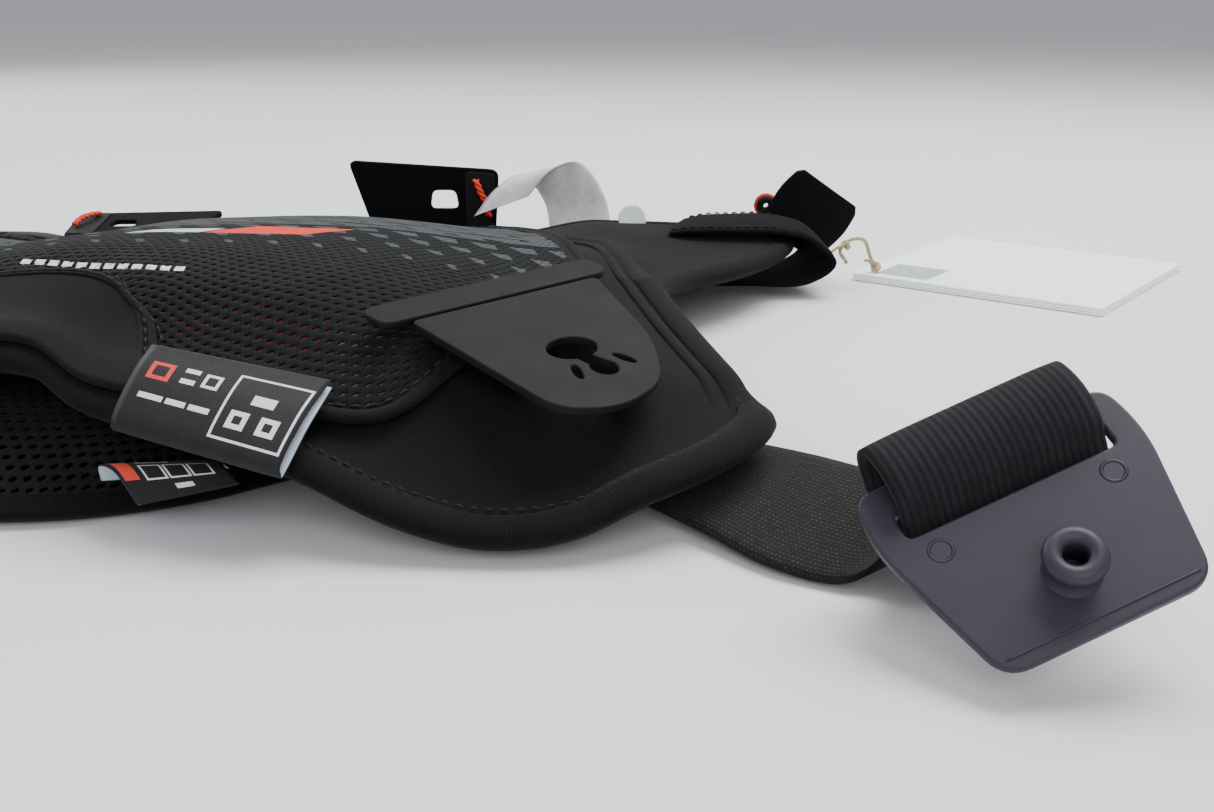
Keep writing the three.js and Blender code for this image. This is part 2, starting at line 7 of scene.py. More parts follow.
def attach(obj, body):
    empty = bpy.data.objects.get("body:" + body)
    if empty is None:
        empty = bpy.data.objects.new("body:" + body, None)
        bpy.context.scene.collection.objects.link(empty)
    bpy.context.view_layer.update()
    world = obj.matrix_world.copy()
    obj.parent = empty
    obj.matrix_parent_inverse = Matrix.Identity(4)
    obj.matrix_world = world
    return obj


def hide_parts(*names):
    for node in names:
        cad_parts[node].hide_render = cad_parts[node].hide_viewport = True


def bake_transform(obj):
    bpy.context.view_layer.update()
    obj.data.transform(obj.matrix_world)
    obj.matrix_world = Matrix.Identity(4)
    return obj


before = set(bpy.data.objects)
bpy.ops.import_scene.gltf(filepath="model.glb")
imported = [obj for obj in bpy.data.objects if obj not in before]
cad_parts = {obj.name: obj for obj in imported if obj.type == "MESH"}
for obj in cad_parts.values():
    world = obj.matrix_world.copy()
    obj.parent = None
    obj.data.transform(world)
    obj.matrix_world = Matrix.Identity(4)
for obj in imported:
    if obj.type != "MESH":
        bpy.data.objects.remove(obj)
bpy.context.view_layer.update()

MM = 0.001
SIDES = (("left", 1.0), ("right", -1.0))

# ---- driving sizes, in millimetres, as in the frame ----------------------------------------------
CARRIER = 5.0
PAD_RISE = 5.0
HEM_BLEND = 42.0
STRAP_WIDTH = 40.0
STRAP_THICKNESS = 1.8


# ---- camera --------------------------------------------------------------------------------------
CAMERA_AT = (142.0, -392.0, 113.0)
CAMERA_PITCH = 18.1
camera_data = bpy.data.cameras.new("camera")
camera_data.sensor_width = 36.0
camera_data.lens = 38.05
camera_data.clip_start = 0.01
camera = bpy.data.objects.new("camera", camera_data)
bpy.context.scene.collection.objects.link(camera)
camera.location = Vector(CAMERA_AT) * MM
camera.rotation_euler = (math.radians(90.0 - CAMERA_PITCH), 0.0, 0.0)
bpy.context.scene.camera = camera


# ---- materials -----------------------------------------------------------------------------------
class Look:
    """A node material built up from a Principled shader."""

    def __init__(self, name, color, roughness, **sockets):
        self.material = bpy.data.materials.new(name)
        self.material.use_nodes = True
        self.tree = self.material.node_tree
        self.shader = self.tree.nodes["Principled BSDF"]
        self.shader.inputs["Base Color"].default_value = (*color, 1.0)
        self.shader.inputs["Roughness"].default_value = roughness
        for key, value in sockets.items():
            self.shader.inputs[key.replace("_", " ")].default_value = value
        self.color = (*color, 1.0)
        self.height = None
        self.coords = self.node("ShaderNodeTexCoord")

    def node(self, kind, **settings):
        made = self.tree.nodes.new(kind)
        for key, value in settings.items():
            setattr(made, key, value)
        return made

    def link(self, out, into):
        self.tree.links.new(out, into)

    def axes(self, space):
        split = self.node("ShaderNodeSeparateXYZ")
        self.link(self.coords.outputs[space], split.inputs[0])
        return split.outputs

    def math(self, operation, a, b=0.0, clamp=False):
        made = self.node("ShaderNodeMath", operation=operation, use_clamp=clamp)
        for socket, value in zip(made.inputs, (a, b)):
            if isinstance(value, (int, float)):
                socket.default_value = value
            else:
                self.link(value, socket)
        return made.outputs[0]

    def add(self, a, b):
        return self.math("ADD", a, b)

    def sub(self, a, b):
        return self.math("SUBTRACT", a, b)

    def mul(self, a, b):
        return self.math("MULTIPLY", a, b)

    def div(self, a, b):
        return self.math("DIVIDE", a, b)

    def within(self, value, low, high):
        return self.mul(self.math("GREATER_THAN", value, low), self.math("LESS_THAN", value, high))

    def where(self, scale):
        mapping = self.node("ShaderNodeMapping")
        mapping.inputs["Scale"].default_value = scale
        self.link(self.coords.outputs["Object"], mapping.inputs["Vector"])
        return mapping.outputs[0]

    def noise(self, size_mm, detail=3.0, roughness=0.55):
        made = self.node("ShaderNodeTexNoise")
        made.inputs["Detail"].default_value = detail
        made.inputs["Roughness"].default_value = roughness
        made.inputs["Scale"].default_value = 1.0
        self.link(self.where([1.0 / (size_mm * MM)] * 3), made.inputs["Vector"])
        return made.outputs["Fac"]

    def cells(self, size_mm, squash=1.0):
        made = self.node("ShaderNodeTexVoronoi")
        made.inputs["Scale"].default_value = 1.0
        per = 1.0 / (size_mm * MM)
        self.link(self.where((per, per * squash, per)), made.inputs["Vector"])
        return made.outputs["Distance"]

    def stripes(self, size_mm, axis):
        """Even ribs, one each size_mm along an axis of the UV map."""
        turn = self.mul(self.axes("UV")[axis], 2.0 * math.pi / (size_mm * MM))
        return self.math("ADD", self.mul(self.math("SINE", turn), 0.5), 0.5, clamp=True)

    def mix(self, share, first, second):
        made = self.node("ShaderNodeMix", data_type="RGBA")
        self.feed(share, made.inputs["Factor"])
        self.feed(first, made.inputs["A"])
        self.feed(second, made.inputs["B"])
        return made.outputs["Result"]

    def feed(self, value, socket):
        if isinstance(value, (int, float)):
            socket.default_value = value
        elif isinstance(value, tuple):
            socket.default_value = (*value[:3], 1.0)
        else:
            self.link(value, socket)

    def span(self, value, low, high):
        made = self.node("ShaderNodeMapRange", clamp=True)
        self.link(value, made.inputs["Value"])
        made.inputs["From Min"].default_value = low
        made.inputs["From Max"].default_value = high
        return made.outputs["Result"]

    def paint(self, color):
        self.link(color, self.shader.inputs["Base Color"])
        return self

    def vary(self, size_mm=14.0, amount=0.35):
        """Soft lighter and darker patches of the same colour."""
        dark = tuple(c * (1.0 - amount) for c in self.color[:3])
        light = tuple(min(1.0, c * (1.0 + amount)) for c in self.color[:3])
        return self.mix(self.span(self.noise(size_mm, 4.0), 0.3, 0.7), dark, light)

    def rough(self, value, low, high):
        made = self.node("ShaderNodeMapRange")
        self.link(value, made.inputs["Value"])
        made.inputs["To Min"].default_value = low
        made.inputs["To Max"].default_value = high
        self.link(made.outputs["Result"], self.shader.inputs["Roughness"])
        return self

    def bump(self, height, depth_mm, strength=1.0):
        made = self.node("ShaderNodeBump")
        made.inputs["Strength"].default_value = strength
        made.inputs["Distance"].default_value = depth_mm * MM
        self.link(height, made.inputs["Height"])
        if self.height is not None:
            self.link(self.height, made.inputs["Normal"])
        self.height = made.outputs["Normal"]
        self.link(self.height, self.shader.inputs["Normal"])
        return self


FABRIC = {"Specular_IOR_Level": 0.12, "Sheen_Roughness": 0.5}


def scaled(color, share):
    return tuple(c * share for c in color)


def knit_look(name, color, loop_mm=0.55, roughness=0.9, sheen=0.03, relief=0.1, fuzz=0.25):
    """Fine knitted face: loops, small lumps, and fibres that catch the light in patches."""
    look = Look(name, color, roughness, Sheen_Weight=sheen, **FABRIC)
    loops = look.cells(loop_mm, 0.7)
    shade = look.mix(look.span(loops, 0.0, 0.7), scaled(color, 1.0 + fuzz), scaled(color, 1.0 - fuzz))
    patches = look.span(look.noise(12.0, 4.0), 0.3, 0.7)
    fibres = look.span(look.noise(0.9, 2.0), 0.62, 0.8)
    toned = look.mix(look.mul(patches, 0.5), shade, scaled(color, 1.0 - 1.6 * fuzz))
    look.paint(look.mix(look.mul(fibres, 0.35), toned, scaled(color, 2.2)))
    look.bump(loops, relief)
    look.bump(look.noise(2.6, 4.0), relief * 0.9, 0.6)
    return look


NEOPRENE = knit_look("neoprene", (0.0074, 0.0064, 0.0075), 0.5, 0.92, 0.02, 0.10)
STRETCH = knit_look("stretch", (0.0072, 0.0061, 0.0076), 0.42, 0.88, 0.02, 0.09)
SPACER = knit_look("spacer", (0.0085, 0.0085, 0.0092), 0.6, 0.9, 0.02, 0.16)
UNDER_FOAM = knit_look("under_foam", (0.0030, 0.0030, 0.0034), 1.2, 0.95, 0.0, 0.2)
LOOP_PILE = knit_look("velour", (0.0046, 0.0046, 0.0064), 0.35, 0.97, 0.01, 0.22, 0.35)


def red_foam_look():
    """Red foam seen along the pad's lower rim, pale at its outer corner and in shade further up."""
    look = Look("red_foam", (0.78, 0.030, 0.022), 0.7, Specular_IOR_Level=0.2)
    x, y, _ = look.axes("Object")
    across = look.math("ABSOLUTE", x)
    lower = look.sub(1.0, look.span(y, -0.104, -0.088))
    lit = look.mul(lower, look.span(across, 0.030, 0.045))
    toned = look.mix(lit, (0.004, 0.003, 0.003), look.vary(6.0, 0.3))
    pale = look.mul(look.span(across, 0.0800, 0.0812),
                     look.math("LESS_THAN", y, -0.0975))
    look.paint(look.mix(pale, toned, (0.55, 0.58, 0.36)))
    look.bump(look.cells(0.8), 0.12)
    return look


def ribbed_look(name, color, rib_mm, axis, roughness=0.8, relief=0.1, depth=0.3):
    """Tape or elastic with ribs across one axis of its own length and width, the rib crests painted lighter
    and the grooves painted darker.
    """
    look = Look(name, color, roughness, Sheen_Weight=0.03, **FABRIC)
    ribs = look.stripes(rib_mm, axis)
    # Painted light and shade: rib crests painted lighter and the grooves between them painted darker, by
    # depth, in patches set by noise.
    rib_light_and_shade = look.mul(ribs, look.span(look.noise(4.0), 0.1, 0.6))
    look.paint(look.mix(rib_light_and_shade, scaled(color, 1.0 - depth), scaled(color, 1.0 + depth)))
    look.bump(ribs, relief)
    look.bump(look.noise(0.5, 2.0), relief * 0.5)
    return look


GROSGRAIN = ribbed_look("grosgrain", (0.0036, 0.0033, 0.0041), 0.9, 0, 0.88, 0.07)
ELASTIC_FACE = ribbed_look("elastic_ribs", (0.0120, 0.0108, 0.0135), 1.5, 1, 0.85, 0.14, 0.35)
NECK_BAND = ribbed_look("neck_band", (0.016, 0.019, 0.021), 1.6, 0, 0.7, 0.16)
BIAS = knit_look("bias_tape", (0.0030, 0.0034, 0.0040), 0.4, 0.8, 0.01, 0.07)


def dotted_look():
    """Loop side of the elastic: small pale dots in rows on an olive grey ground."""
    ground, dot = (0.0110, 0.0128, 0.0108), (0.0430, 0.0480, 0.0400)
    look = Look("elastic_loops", ground, 0.9, Sheen_Weight=0.04, **FABRIC)
    dots = look.span(look.mul(look.stripes(1.15, 0), look.stripes(1.15, 1)), 0.35, 0.75)
    speck = look.mul(dots, look.span(look.noise(1.6), 0.35, 0.6))
    look.paint(look.mix(speck, ground, dot))
    look.bump(dots, 0.22)
    look.bump(look.noise(0.6, 3.0), 0.12)
    return look


ELASTIC_LOOPS = dotted_look()


def moulded_look(name, color, roughness, grain_mm=0.5, relief=0.03, wear=0.12, **sockets):
    look = Look(name, color, roughness, **sockets)
    rubbed = look.span(look.noise(1.1, 5.0, 0.7), 0.6, 0.78)
    look.paint(look.mix(look.mul(rubbed, wear), look.vary(25.0, 0.1), scaled(color, 1.9)))
    look.rough(look.noise(9.0, 5.0), roughness - 0.08, roughness + 0.1)
    look.bump(look.noise(grain_mm, 3.0), relief)
    return look


TPU = moulded_look("soft_tpu", (0.0076, 0.0076, 0.0078), 0.62, 0.35, 0.03, Specular_IOR_Level=0.12)
PLASTIC = moulded_look("hard_plastic", (0.0270, 0.0250, 0.0370), 0.46, 1.5, 0.02, Specular_IOR_Level=0.25)
PALE = moulded_look("pale_rubber", (0.62, 0.66, 0.67), 0.55, 0.5, 0.05)
THREAD = moulded_look("thread", (0.0160, 0.0150, 0.0175), 0.7, 0.2, 0.05, Specular_IOR_Level=0.15)


def woven_look(name, color, roughness, pitch_mm=0.35, relief=0.05, sheen=0.05):
    look = Look(name, color, roughness, Sheen_Weight=sheen, Specular_IOR_Level=0.2)
    warp = look.stripes(pitch_mm, 0)
    weft = look.stripes(pitch_mm * 1.3, 1)
    look.paint(look.vary(5.0, 0.15))
    look.bump(look.math("MAXIMUM", warp, weft), relief)
    return look


def label_look(name, shapes):
    """Black woven label with blocks woven into it; each is (colour, from, to, low, high, edge)."""
    look = woven_look(name, (0.0095, 0.0090, 0.0105), 0.6)
    down, across, _ = look.axes("UV")
    tone = look.vary(5.0, 0.15)

    def within(value, low, high):
        return look.within(value, low * MM, high * MM)

    for color, left, right, low, high, edge in shapes:
        block = look.mul(within(across, left, right), within(down, low, high))
        if edge:
            inner = look.mul(within(across, left + edge, right - edge),
                              within(down, low + edge, high - edge))
            block = look.sub(block, inner)
        tone = look.mix(block, tone, color)
    look.paint(tone)
    return look


THREAD_WHITE, THREAD_RED = (0.62, 0.63, 0.66), (0.60, 0.050, 0.030)
LABEL = label_look("label_face", [
    (THREAD_RED, -17.5, -12.0, 6.0, 11.5, 1.1), (THREAD_WHITE, -9.5, -6.0, 6.0, 7.4, 0.0),
    (THREAD_WHITE, -9.5, -6.0, 9.4, 10.8, 0.0), (THREAD_WHITE, -4.5, -0.5, 6.4, 10.6, 0.8),
    (THREAD_WHITE, -17.0, -11.0, 15.4, 16.8, 0.0), (THREAD_WHITE, -10.2, -5.4, 15.4, 16.8, 0.0),
    (THREAD_WHITE, -4.6, 0.4, 15.4, 16.8, 0.0), (THREAD_WHITE, 2.4, 19.6, 4.2, 21.4, 0.6),
    (THREAD_WHITE, 5.0, 9.4, 14.0, 18.4, 1.2), (THREAD_WHITE, 12.2, 16.6, 14.0, 18.4, 1.2),
    (THREAD_WHITE, 8.2, 13.6, 9.2, 11.8, 0.0),
])
SIZE_LABEL = label_look("size_face", [
    (THREAD_RED, -11.0, -7.6, 4.0, 17.0, 0.0), (THREAD_WHITE, -5.6, 1.2, 6.6, 10.4, 0.45),
    (THREAD_WHITE, -6.2, -1.4, 12.2, 17.4, 0.45), (THREAD_WHITE, -1.0, 3.8, 12.2, 17.4, 0.45),
    (THREAD_WHITE, 4.2, 9.0, 12.2, 17.4, 0.45), (THREAD_WHITE, -1.0, 3.0, 19.0, 20.4, 0.0),
])
LABEL_BACK = woven_look("label_reverse", (0.40, 0.44, 0.54), 0.7)
SATIN = woven_look("satin", (0.54, 0.52, 0.53), 0.45, 0.5, 0.03, 0.1)
ORANGE = moulded_look("orange_cord", (0.60, 0.045, 0.020), 0.65, 0.6, 0.12, Specular_IOR_Level=0.2)


def card_look(name, color):
    look = Look(name, color, 0.55, Specular_IOR_Level=0.35)
    look.paint(look.vary(18.0, 0.03))
    look.bump(look.noise(0.4, 4.0), 0.015)
    return look


CARD = card_look("card", (0.93, 0.94, 0.95))
CARD_GREEN = card_look("card_green", (0.34, 0.42, 0.41))


def jute_look():
    look = Look("jute", (0.50, 0.40, 0.25), 0.85, Sheen_Weight=0.2, **FABRIC)
    look.paint(look.mix(look.span(look.noise(1.2, 4.0), 0.3, 0.7), (0.24, 0.18, 0.10),
                        (0.56, 0.46, 0.29)))
    look.bump(look.noise(0.35, 3.0), 0.12)
    return look


JUTE = jute_look()


def printed_mesh_look():
    """Charcoal knit with grey shards that thin out towards the hem, stripes and one red bar."""
    look = Look("printed_mesh", (0.0046, 0.0051, 0.0054), 0.85, Sheen_Weight=0.01, **FABRIC)
    x, y, _ = look.axes("Object")
    ground = look.vary(9.0, 0.25)

    # Shards: one in each cell of a slanted grid, wider towards the neck.
    pitch_x, pitch_y = 0.0115, 0.0135
    row = look.div(y, pitch_y)
    along = look.math("FRACT", look.add(row, 40.0))
    slant = look.add(look.div(x, pitch_x), look.mul(row, 0.5))
    across = look.math("FRACT", look.add(slant, 40.0))
    grow = look.span(y, -0.062, 0.010)
    half = look.mul(look.add(0.12, look.mul(grow, 0.34)), look.add(0.55, look.mul(along, 0.6)))
    off = look.math("ABSOLUTE", look.sub(across, 0.5))
    inside = look.math("LESS_THAN", off, half)
    tall = look.within(along, 0.18, look.add(0.48, look.mul(grow, 0.4)))
    started = look.math("GREATER_THAN", y, -0.066)
    shard = look.mul(look.mul(inside, tall), started)

    # Long stripes over the crest.
    bars = look.math("FRACT", look.add(look.add(look.div(y, 0.0085), look.div(x, 0.036)), 40.0))
    stripe = look.mul(look.math("LESS_THAN", bars, 0.62), look.math("GREATER_THAN", y, -0.012))
    grey = look.math("MAXIMUM", shard, stripe)
    speckle = look.span(look.noise(0.9, 2.0), 0.2, 0.5)
    toned = look.mix(look.mul(grey, look.add(0.55, look.mul(speckle, 0.4))), ground, (0.058, 0.066, 0.068))

    # A red bar and a white one, both slanted blocks with no lettering.
    def block(x0, x1, y0, y1, lean):
        shifted = look.add(x, look.mul(y, lean))
        return look.mul(look.within(shifted, x0, x1), look.within(y, y0, y1))

    with_red = look.mix(block(0.0515, 0.0790, -0.047, -0.024, -0.4), toned, (0.62, 0.055, 0.035))
    with_white = look.mix(block(0.0300, 0.0500, -0.047, -0.036, -0.4), with_red, (0.50, 0.52, 0.52))

    # A line of plain bars along the insert's edge.
    leaning = look.add(look.add(y, look.mul(x, 0.20)), 0.0780)
    thin = look.math("LESS_THAN", look.math("ABSOLUTE", leaning), 0.0011)
    broken = look.math("LESS_THAN", look.math("FRACT", look.add(look.div(x, 0.0037), 40.0)), 0.7)
    bars_line = look.mul(look.mul(thin, broken), look.within(x, -0.004, 0.040))
    look.paint(look.mix(bars_line, with_white, (0.62, 0.64, 0.64)))
    look.bump(look.cells(0.5, 0.7), 0.1)
    return look


PRINTED_MESH = printed_mesh_look()


# ---- curves and outlines -------------------------------------------------------------------------
def unit(v):
    v = np.asarray(v, float)
    return v / np.linalg.norm(v, axis=-1, keepdims=True)


def run_length(points):
    """How far along a chain of points each one lies."""
    return np.concatenate([[0.0], np.cumsum(np.linalg.norm(np.diff(points, axis=0), axis=1))])


def catmull(points, closed=False, per=16, centripetal=True):
    """Dense points of a Catmull-Rom curve through the given ones."""
    p = np.asarray(points, float)
    if closed:
        ring = np.vstack([p[-1], p, p[0], p[1]])
    else:
        ring = np.vstack([2 * p[0] - p[1], p, 2 * p[-1] - p[-2]])
    out = []
    for k in range(1, len(ring) - 2):
        a, b, c, d = ring[k - 1:k + 3]
        power = 0.25 if centripetal else 0.0
        gaps = [max(float(((n - m) ** 2).sum()) ** power, 1e-4) for m, n in ((a, b), (b, c), (c, d))]
        m1 = ((b - a) / gaps[0] - (c - a) / (gaps[0] + gaps[1]) + (c - b) / gaps[1]) * gaps[1]
        m2 = ((c - b) / gaps[1] - (d - b) / (gaps[1] + gaps[2]) + (d - c) / gaps[2]) * gaps[1]
        t = np.linspace(0, 1, per, endpoint=False)[:, None]
        out.append((2 * t ** 3 - 3 * t ** 2 + 1) * b + (t ** 3 - 2 * t ** 2 + t) * m1
                   + (3 * t ** 2 - 2 * t ** 3) * c + (t ** 3 - t ** 2) * m2)
    out.append(ring[-2][None])
    return np.vstack(out)


class Track:
    """A curve measured by the share of its length."""

    def __init__(self, points, closed=False):
        self.points = catmull(points, closed)
        self.reach = run_length(self.points)
        self.length = self.reach[-1]

    def at(self, share):
        where = np.clip(np.asarray(share, float), 0, 1) * self.length
        return np.stack([np.interp(where, self.reach, self.points[:, k])
                         for k in range(self.points.shape[1])], axis=-1)

    def tangent(self, share):
        return unit(self.at(np.asarray(share) + 0.002) - self.at(np.asarray(share) - 0.002))


def profile(pairs):
    dense = catmull(pairs, centripetal=False, per=12)
    return lambda at: np.interp(at, dense[:, 0], dense[:, 1])


class Outline:
    """A closed plan outline, symmetric about x = 0, from the points of its +X half."""

    def __init__(self, half, inset=0.0):
        mirrored = [(-x, y) for x, y in half[1:-1]][::-1]
        self.track = Track(list(half) + mirrored, closed=True)
        self.inset = inset

    def at(self, share):
        share = np.mod(np.asarray(share, float), 1.0)
        step = 0.001
        t = unit(self.track.at(np.mod(share + step, 1.0)) - self.track.at(np.mod(share - step, 1.0)))
        return self.track.at(share) + self.inset * np.stack([-t[..., 1], t[..., 0]], axis=-1)

    def inset_by(self, distance):
        copy = Outline.__new__(Outline)
        copy.track, copy.inset = self.track, self.inset + distance
        return copy


def coons(outline, hem, neck):
    """Fills an outline: u from left to right, v from hem to neck."""
    def patch(u, v):
        u, v = np.broadcast_arrays(np.asarray(u, float), np.asarray(v, float))
        side = neck - hem
        bottom = outline.at(-hem + 2 * hem * u)
        top = outline.at(1 - neck - (1 - 2 * neck) * u)
        right = outline.at(hem + side * v)
        left = outline.at(-hem - side * v)
        u, v = u[..., None], v[..., None]
        b0, b1 = outline.at(-hem), outline.at(hem)
        t0, t1 = outline.at(1 - neck), outline.at(neck)
        corners = (1 - u) * (1 - v) * b0 + u * (1 - v) * b1 + (1 - u) * v * t0 + u * v * t1
        return (1 - v) * bottom + v * top + (1 - u) * left + u * right - corners
    return patch


def smoothstep(x, low, high):
    t = np.clip((x - low) / (high - low), 0, 1)
    return t * t * (3 - 2 * t)


# ---- mesh helpers --------------------------------------------------------------------------------
def mesh_object(name, verts, faces, looks, uvs=None, face_looks=None):
    mesh = bpy.data.meshes.new(name)
    mesh.from_pydata([tuple(v) for v in np.asarray(verts, float) * MM], [], faces)
    for look in looks:
        mesh.materials.append(look.material)
    if uvs is not None:
        layer = mesh.uv_layers.new(name="length_and_width")
        flat = np.asarray(uvs, float)[[i for f in faces for i in f]] * MM
        layer.data.foreach_set("uv", flat.astype(np.float32).ravel())
    if face_looks is not None:
        mesh.polygons.foreach_set("material_index", np.asarray(face_looks, np.int32))
    mesh.polygons.foreach_set("use_smooth", [True] * len(mesh.polygons))
    mesh.update()
    made = bpy.data.objects.new(name, mesh)
    bpy.context.scene.collection.objects.link(made)
    return made


def grid_faces(columns, rows, base=0, flip=False):
    faces = []
    stride = columns + 1
    for j in range(rows):
        for i in range(columns):
            a = base + j * stride + i
            quad = (a, a + 1, a + 1 + stride, a + stride)
            faces.append(quad[::-1] if flip else quad)
    return faces


def ring_faces(rings, sides, base=0):
    """The side faces and the two end caps of a tube made of rings."""
    faces = []
    for k in range(rings - 1):
        for s in range(sides):
            a, b = base + k * sides + s, base + k * sides + (s + 1) % sides
            faces.append((a, b, b + sides, a + sides))
    last = base + (rings - 1) * sides
    return faces + [tuple(range(base, base + sides))[::-1], tuple(range(last, last + sides))]


def rounded_slab(name, top, bottom, looks, uv=None, rim=0, bulge=0.0):
    """A closed layer between two point grids, its rim rounded out by bulge."""
    rows, columns = top.shape[0] - 1, top.shape[1] - 1
    count = (rows + 1) * (columns + 1)
    verts = np.vstack([top.reshape(-1, 3), bottom.reshape(-1, 3)])
    faces = grid_faces(columns, rows) + grid_faces(columns, rows, count, True)
    face_looks = [0] * (rows * columns) + [min(1, len(looks) - 1)] * (rows * columns)
    loop = [(0, i) for i in range(columns)] + [(j, columns) for j in range(rows)]
    loop += [(rows, i) for i in range(columns, 0, -1)] + [(j, 0) for j in range(rows, 0, -1)]
    ids = [j * (columns + 1) + i for j, i in loop]
    middle = (verts[ids] + verts[[i + count for i in ids]]) / 2
    out = np.roll(middle, -1, axis=0) - np.roll(middle, 1, axis=0)
    out = np.stack([out[:, 1], -out[:, 0], np.zeros(len(out))], axis=-1)
    out /= np.maximum(np.linalg.norm(out, axis=-1, keepdims=True), 1e-9)
    middle = middle + out * bulge
    verts = np.vstack([verts, middle])
    m0 = 2 * count
    for k in range(len(ids)):
        n = (k + 1) % len(ids)
        faces.append((m0 + k, m0 + n, ids[n], ids[k]))
        faces.append((count + ids[k], count + ids[n], m0 + n, m0 + k))
        face_looks += [rim, rim]
    uvs = None
    if uv is not None:
        flat = uv.reshape(-1, 2)
        uvs = np.vstack([flat, flat, flat[ids]])
    return mesh_object(name, verts, faces, looks, uvs, face_looks)


def band(name, stations, thickness, looks, steps=80, columns=6, camber=0.0, rim=0):
    """A flat band of fabric through stations of centre and half-width vector."""
    centres = catmull([s[0] for s in stations])
    halves = catmull([s[1] for s in stations])
    index = np.arange(len(centres))
    t = np.linspace(0, index[-1], steps + 1)
    c, h = (np.stack([np.interp(t, index, dense[:, k]) for k in range(3)], -1) for dense in (centres, halves))
    normal = unit(np.cross(h, np.gradient(c, axis=0)))
    across = np.linspace(-1, 1, columns + 1)
    lift = camber * (1 - across ** 2)
    mid = c[:, None] + h[:, None] * across[None, :, None] + normal[:, None] * lift[None, :, None]
    width = np.linalg.norm(h, axis=-1)
    uv = np.stack([np.repeat(run_length(c)[:, None], columns + 1, 1), across[None] * width[:, None]], -1)
    edge = 1 - 0.35 * np.abs(across) ** 6
    shift = normal[:, None] * (thickness / 2) * edge[None, :, None]
    return rounded_slab(name, mid + shift, mid - shift, looks, uv, rim, 0.25)


def tube(name, points, radius, look, sides=10, steps=None, squash_z=1.0):
    """A round cord along dense points."""
    track = Track(points)
    steps = steps or max(8, int(track.length / (radius * 1.2)))
    share = np.linspace(0, 1, steps + 1)
    c, t = track.at(share), track.tangent(share)
    up = np.tile([0.0, 0.0, 1.0], (len(c), 1))
    up[np.abs(t[:, 2]) > 0.95] = [0.0, 1.0, 0.0]
    side = unit(np.cross(t, up))
    over = np.cross(side, t) * squash_z
    a = np.linspace(0, 2 * np.pi, sides, endpoint=False)
    ring = np.cos(a)[None, :, None] * side[:, None] + np.sin(a)[None, :, None] * over[:, None]
    verts = (c[:, None] + radius * ring).reshape(-1, 3)
    uvs = np.stack([np.repeat(share * track.length, sides), np.tile(a * radius, len(c))], -1)
    return mesh_object(name, verts, ring_faces(len(c), sides), [look], uvs)


STITCH_RADIUS, STITCH_LIFT, STITCH_SIDES, STITCH_RINGS = 0.33, 0.15, 6, 5


def stitches(name, points, stitch=2.6, gap=1.1):
    """A row of sewn stitches: short domed threads end to end along a line."""
    track = Track(points)
    count = max(2, int(track.length / (stitch + gap)))
    verts, faces = [], []
    for k in range(count):
        centre = (k + 0.5) / count
        c, t = track.at(centre), track.tangent(centre)
        side = unit(np.cross(t, (0.0, 0.0, 1.0)))
        over = np.cross(side, t)
        faces += ring_faces(STITCH_RINGS, STITCH_SIDES, len(verts))
        for r in range(STITCH_RINGS):
            f = r / (STITCH_RINGS - 1)
            dome = math.sin(math.pi * f)
            fat = STITCH_RADIUS * (0.25 + 0.75 * dome ** 0.5)
            mid = c + t * (f - 0.5) * stitch + over * (STITCH_LIFT + STITCH_RADIUS * 0.8 * (dome - 0.9))
            for s in range(STITCH_SIDES):
                a = 2 * math.pi * s / STITCH_SIDES
                verts.append(mid + side * math.cos(a) * fat + over * math.sin(a) * fat)
    return mesh_object(name, np.array(verts), faces, [THREAD])


def perforated(name, surface, columns, rows, slit, thickness, looks, lean=0.0):
    """A knitted sheet with staggered slit holes; surface(u, v) gives its upper face."""
    index, plan, faces = {}, [], []

    def corner(i2, j):
        key = (i2, j)
        if key not in index:
            index[key] = len(plan)
            plan.append((i2 / (2 * columns), j / rows))
        return index[key]

    def inner(x, y):
        plan.append((x / columns, y / rows))
        return len(plan) - 1

    a, b = slit
    hexagon = [(-a, -b * 0.45), (0.0, -b), (a, -b * 0.45), (a, b * 0.45), (0.0, b), (-a, b * 0.45)]
    for j in range(rows):
        offset = 1 if j % 2 else 0
        for i in range(columns - offset):
            low = 2 * i + offset
            ring = [corner(low, j), corner(low + 1, j), corner(low + 2, j),
                    corner(low + 2, j + 1), corner(low + 1, j + 1), corner(low, j + 1)]
            hole = [inner(low / 2 + 0.5 + x, j + 0.5 + y + lean * x) for x, y in hexagon]
            for k in range(6):
                n = (k + 1) % 6
                faces.append((ring[k], ring[n], hole[n], hole[k]))
        if offset:
            for low in (0, 2 * columns - 1):
                faces.append((corner(low, j), corner(low + 1, j), corner(low + 1, j + 1), corner(low, j + 1)))
    plan = np.array(plan)
    verts = surface(plan[:, 0], plan[:, 1])
    made = mesh_object(name, verts, faces, looks)
    solid = made.modifiers.new("thickness", "SOLIDIFY")
    solid.thickness = thickness * MM
    solid.offset = -1.0
    return made


def put(mesh, matrix):
    """Places a mesh by a matrix in millimetres; a reflected one is turned right side out."""
    place = matrix.copy()
    place.translation = place.translation * MM
    mesh.transform(place)
    if place.determinant() < 0:
        mesh.flip_normals()


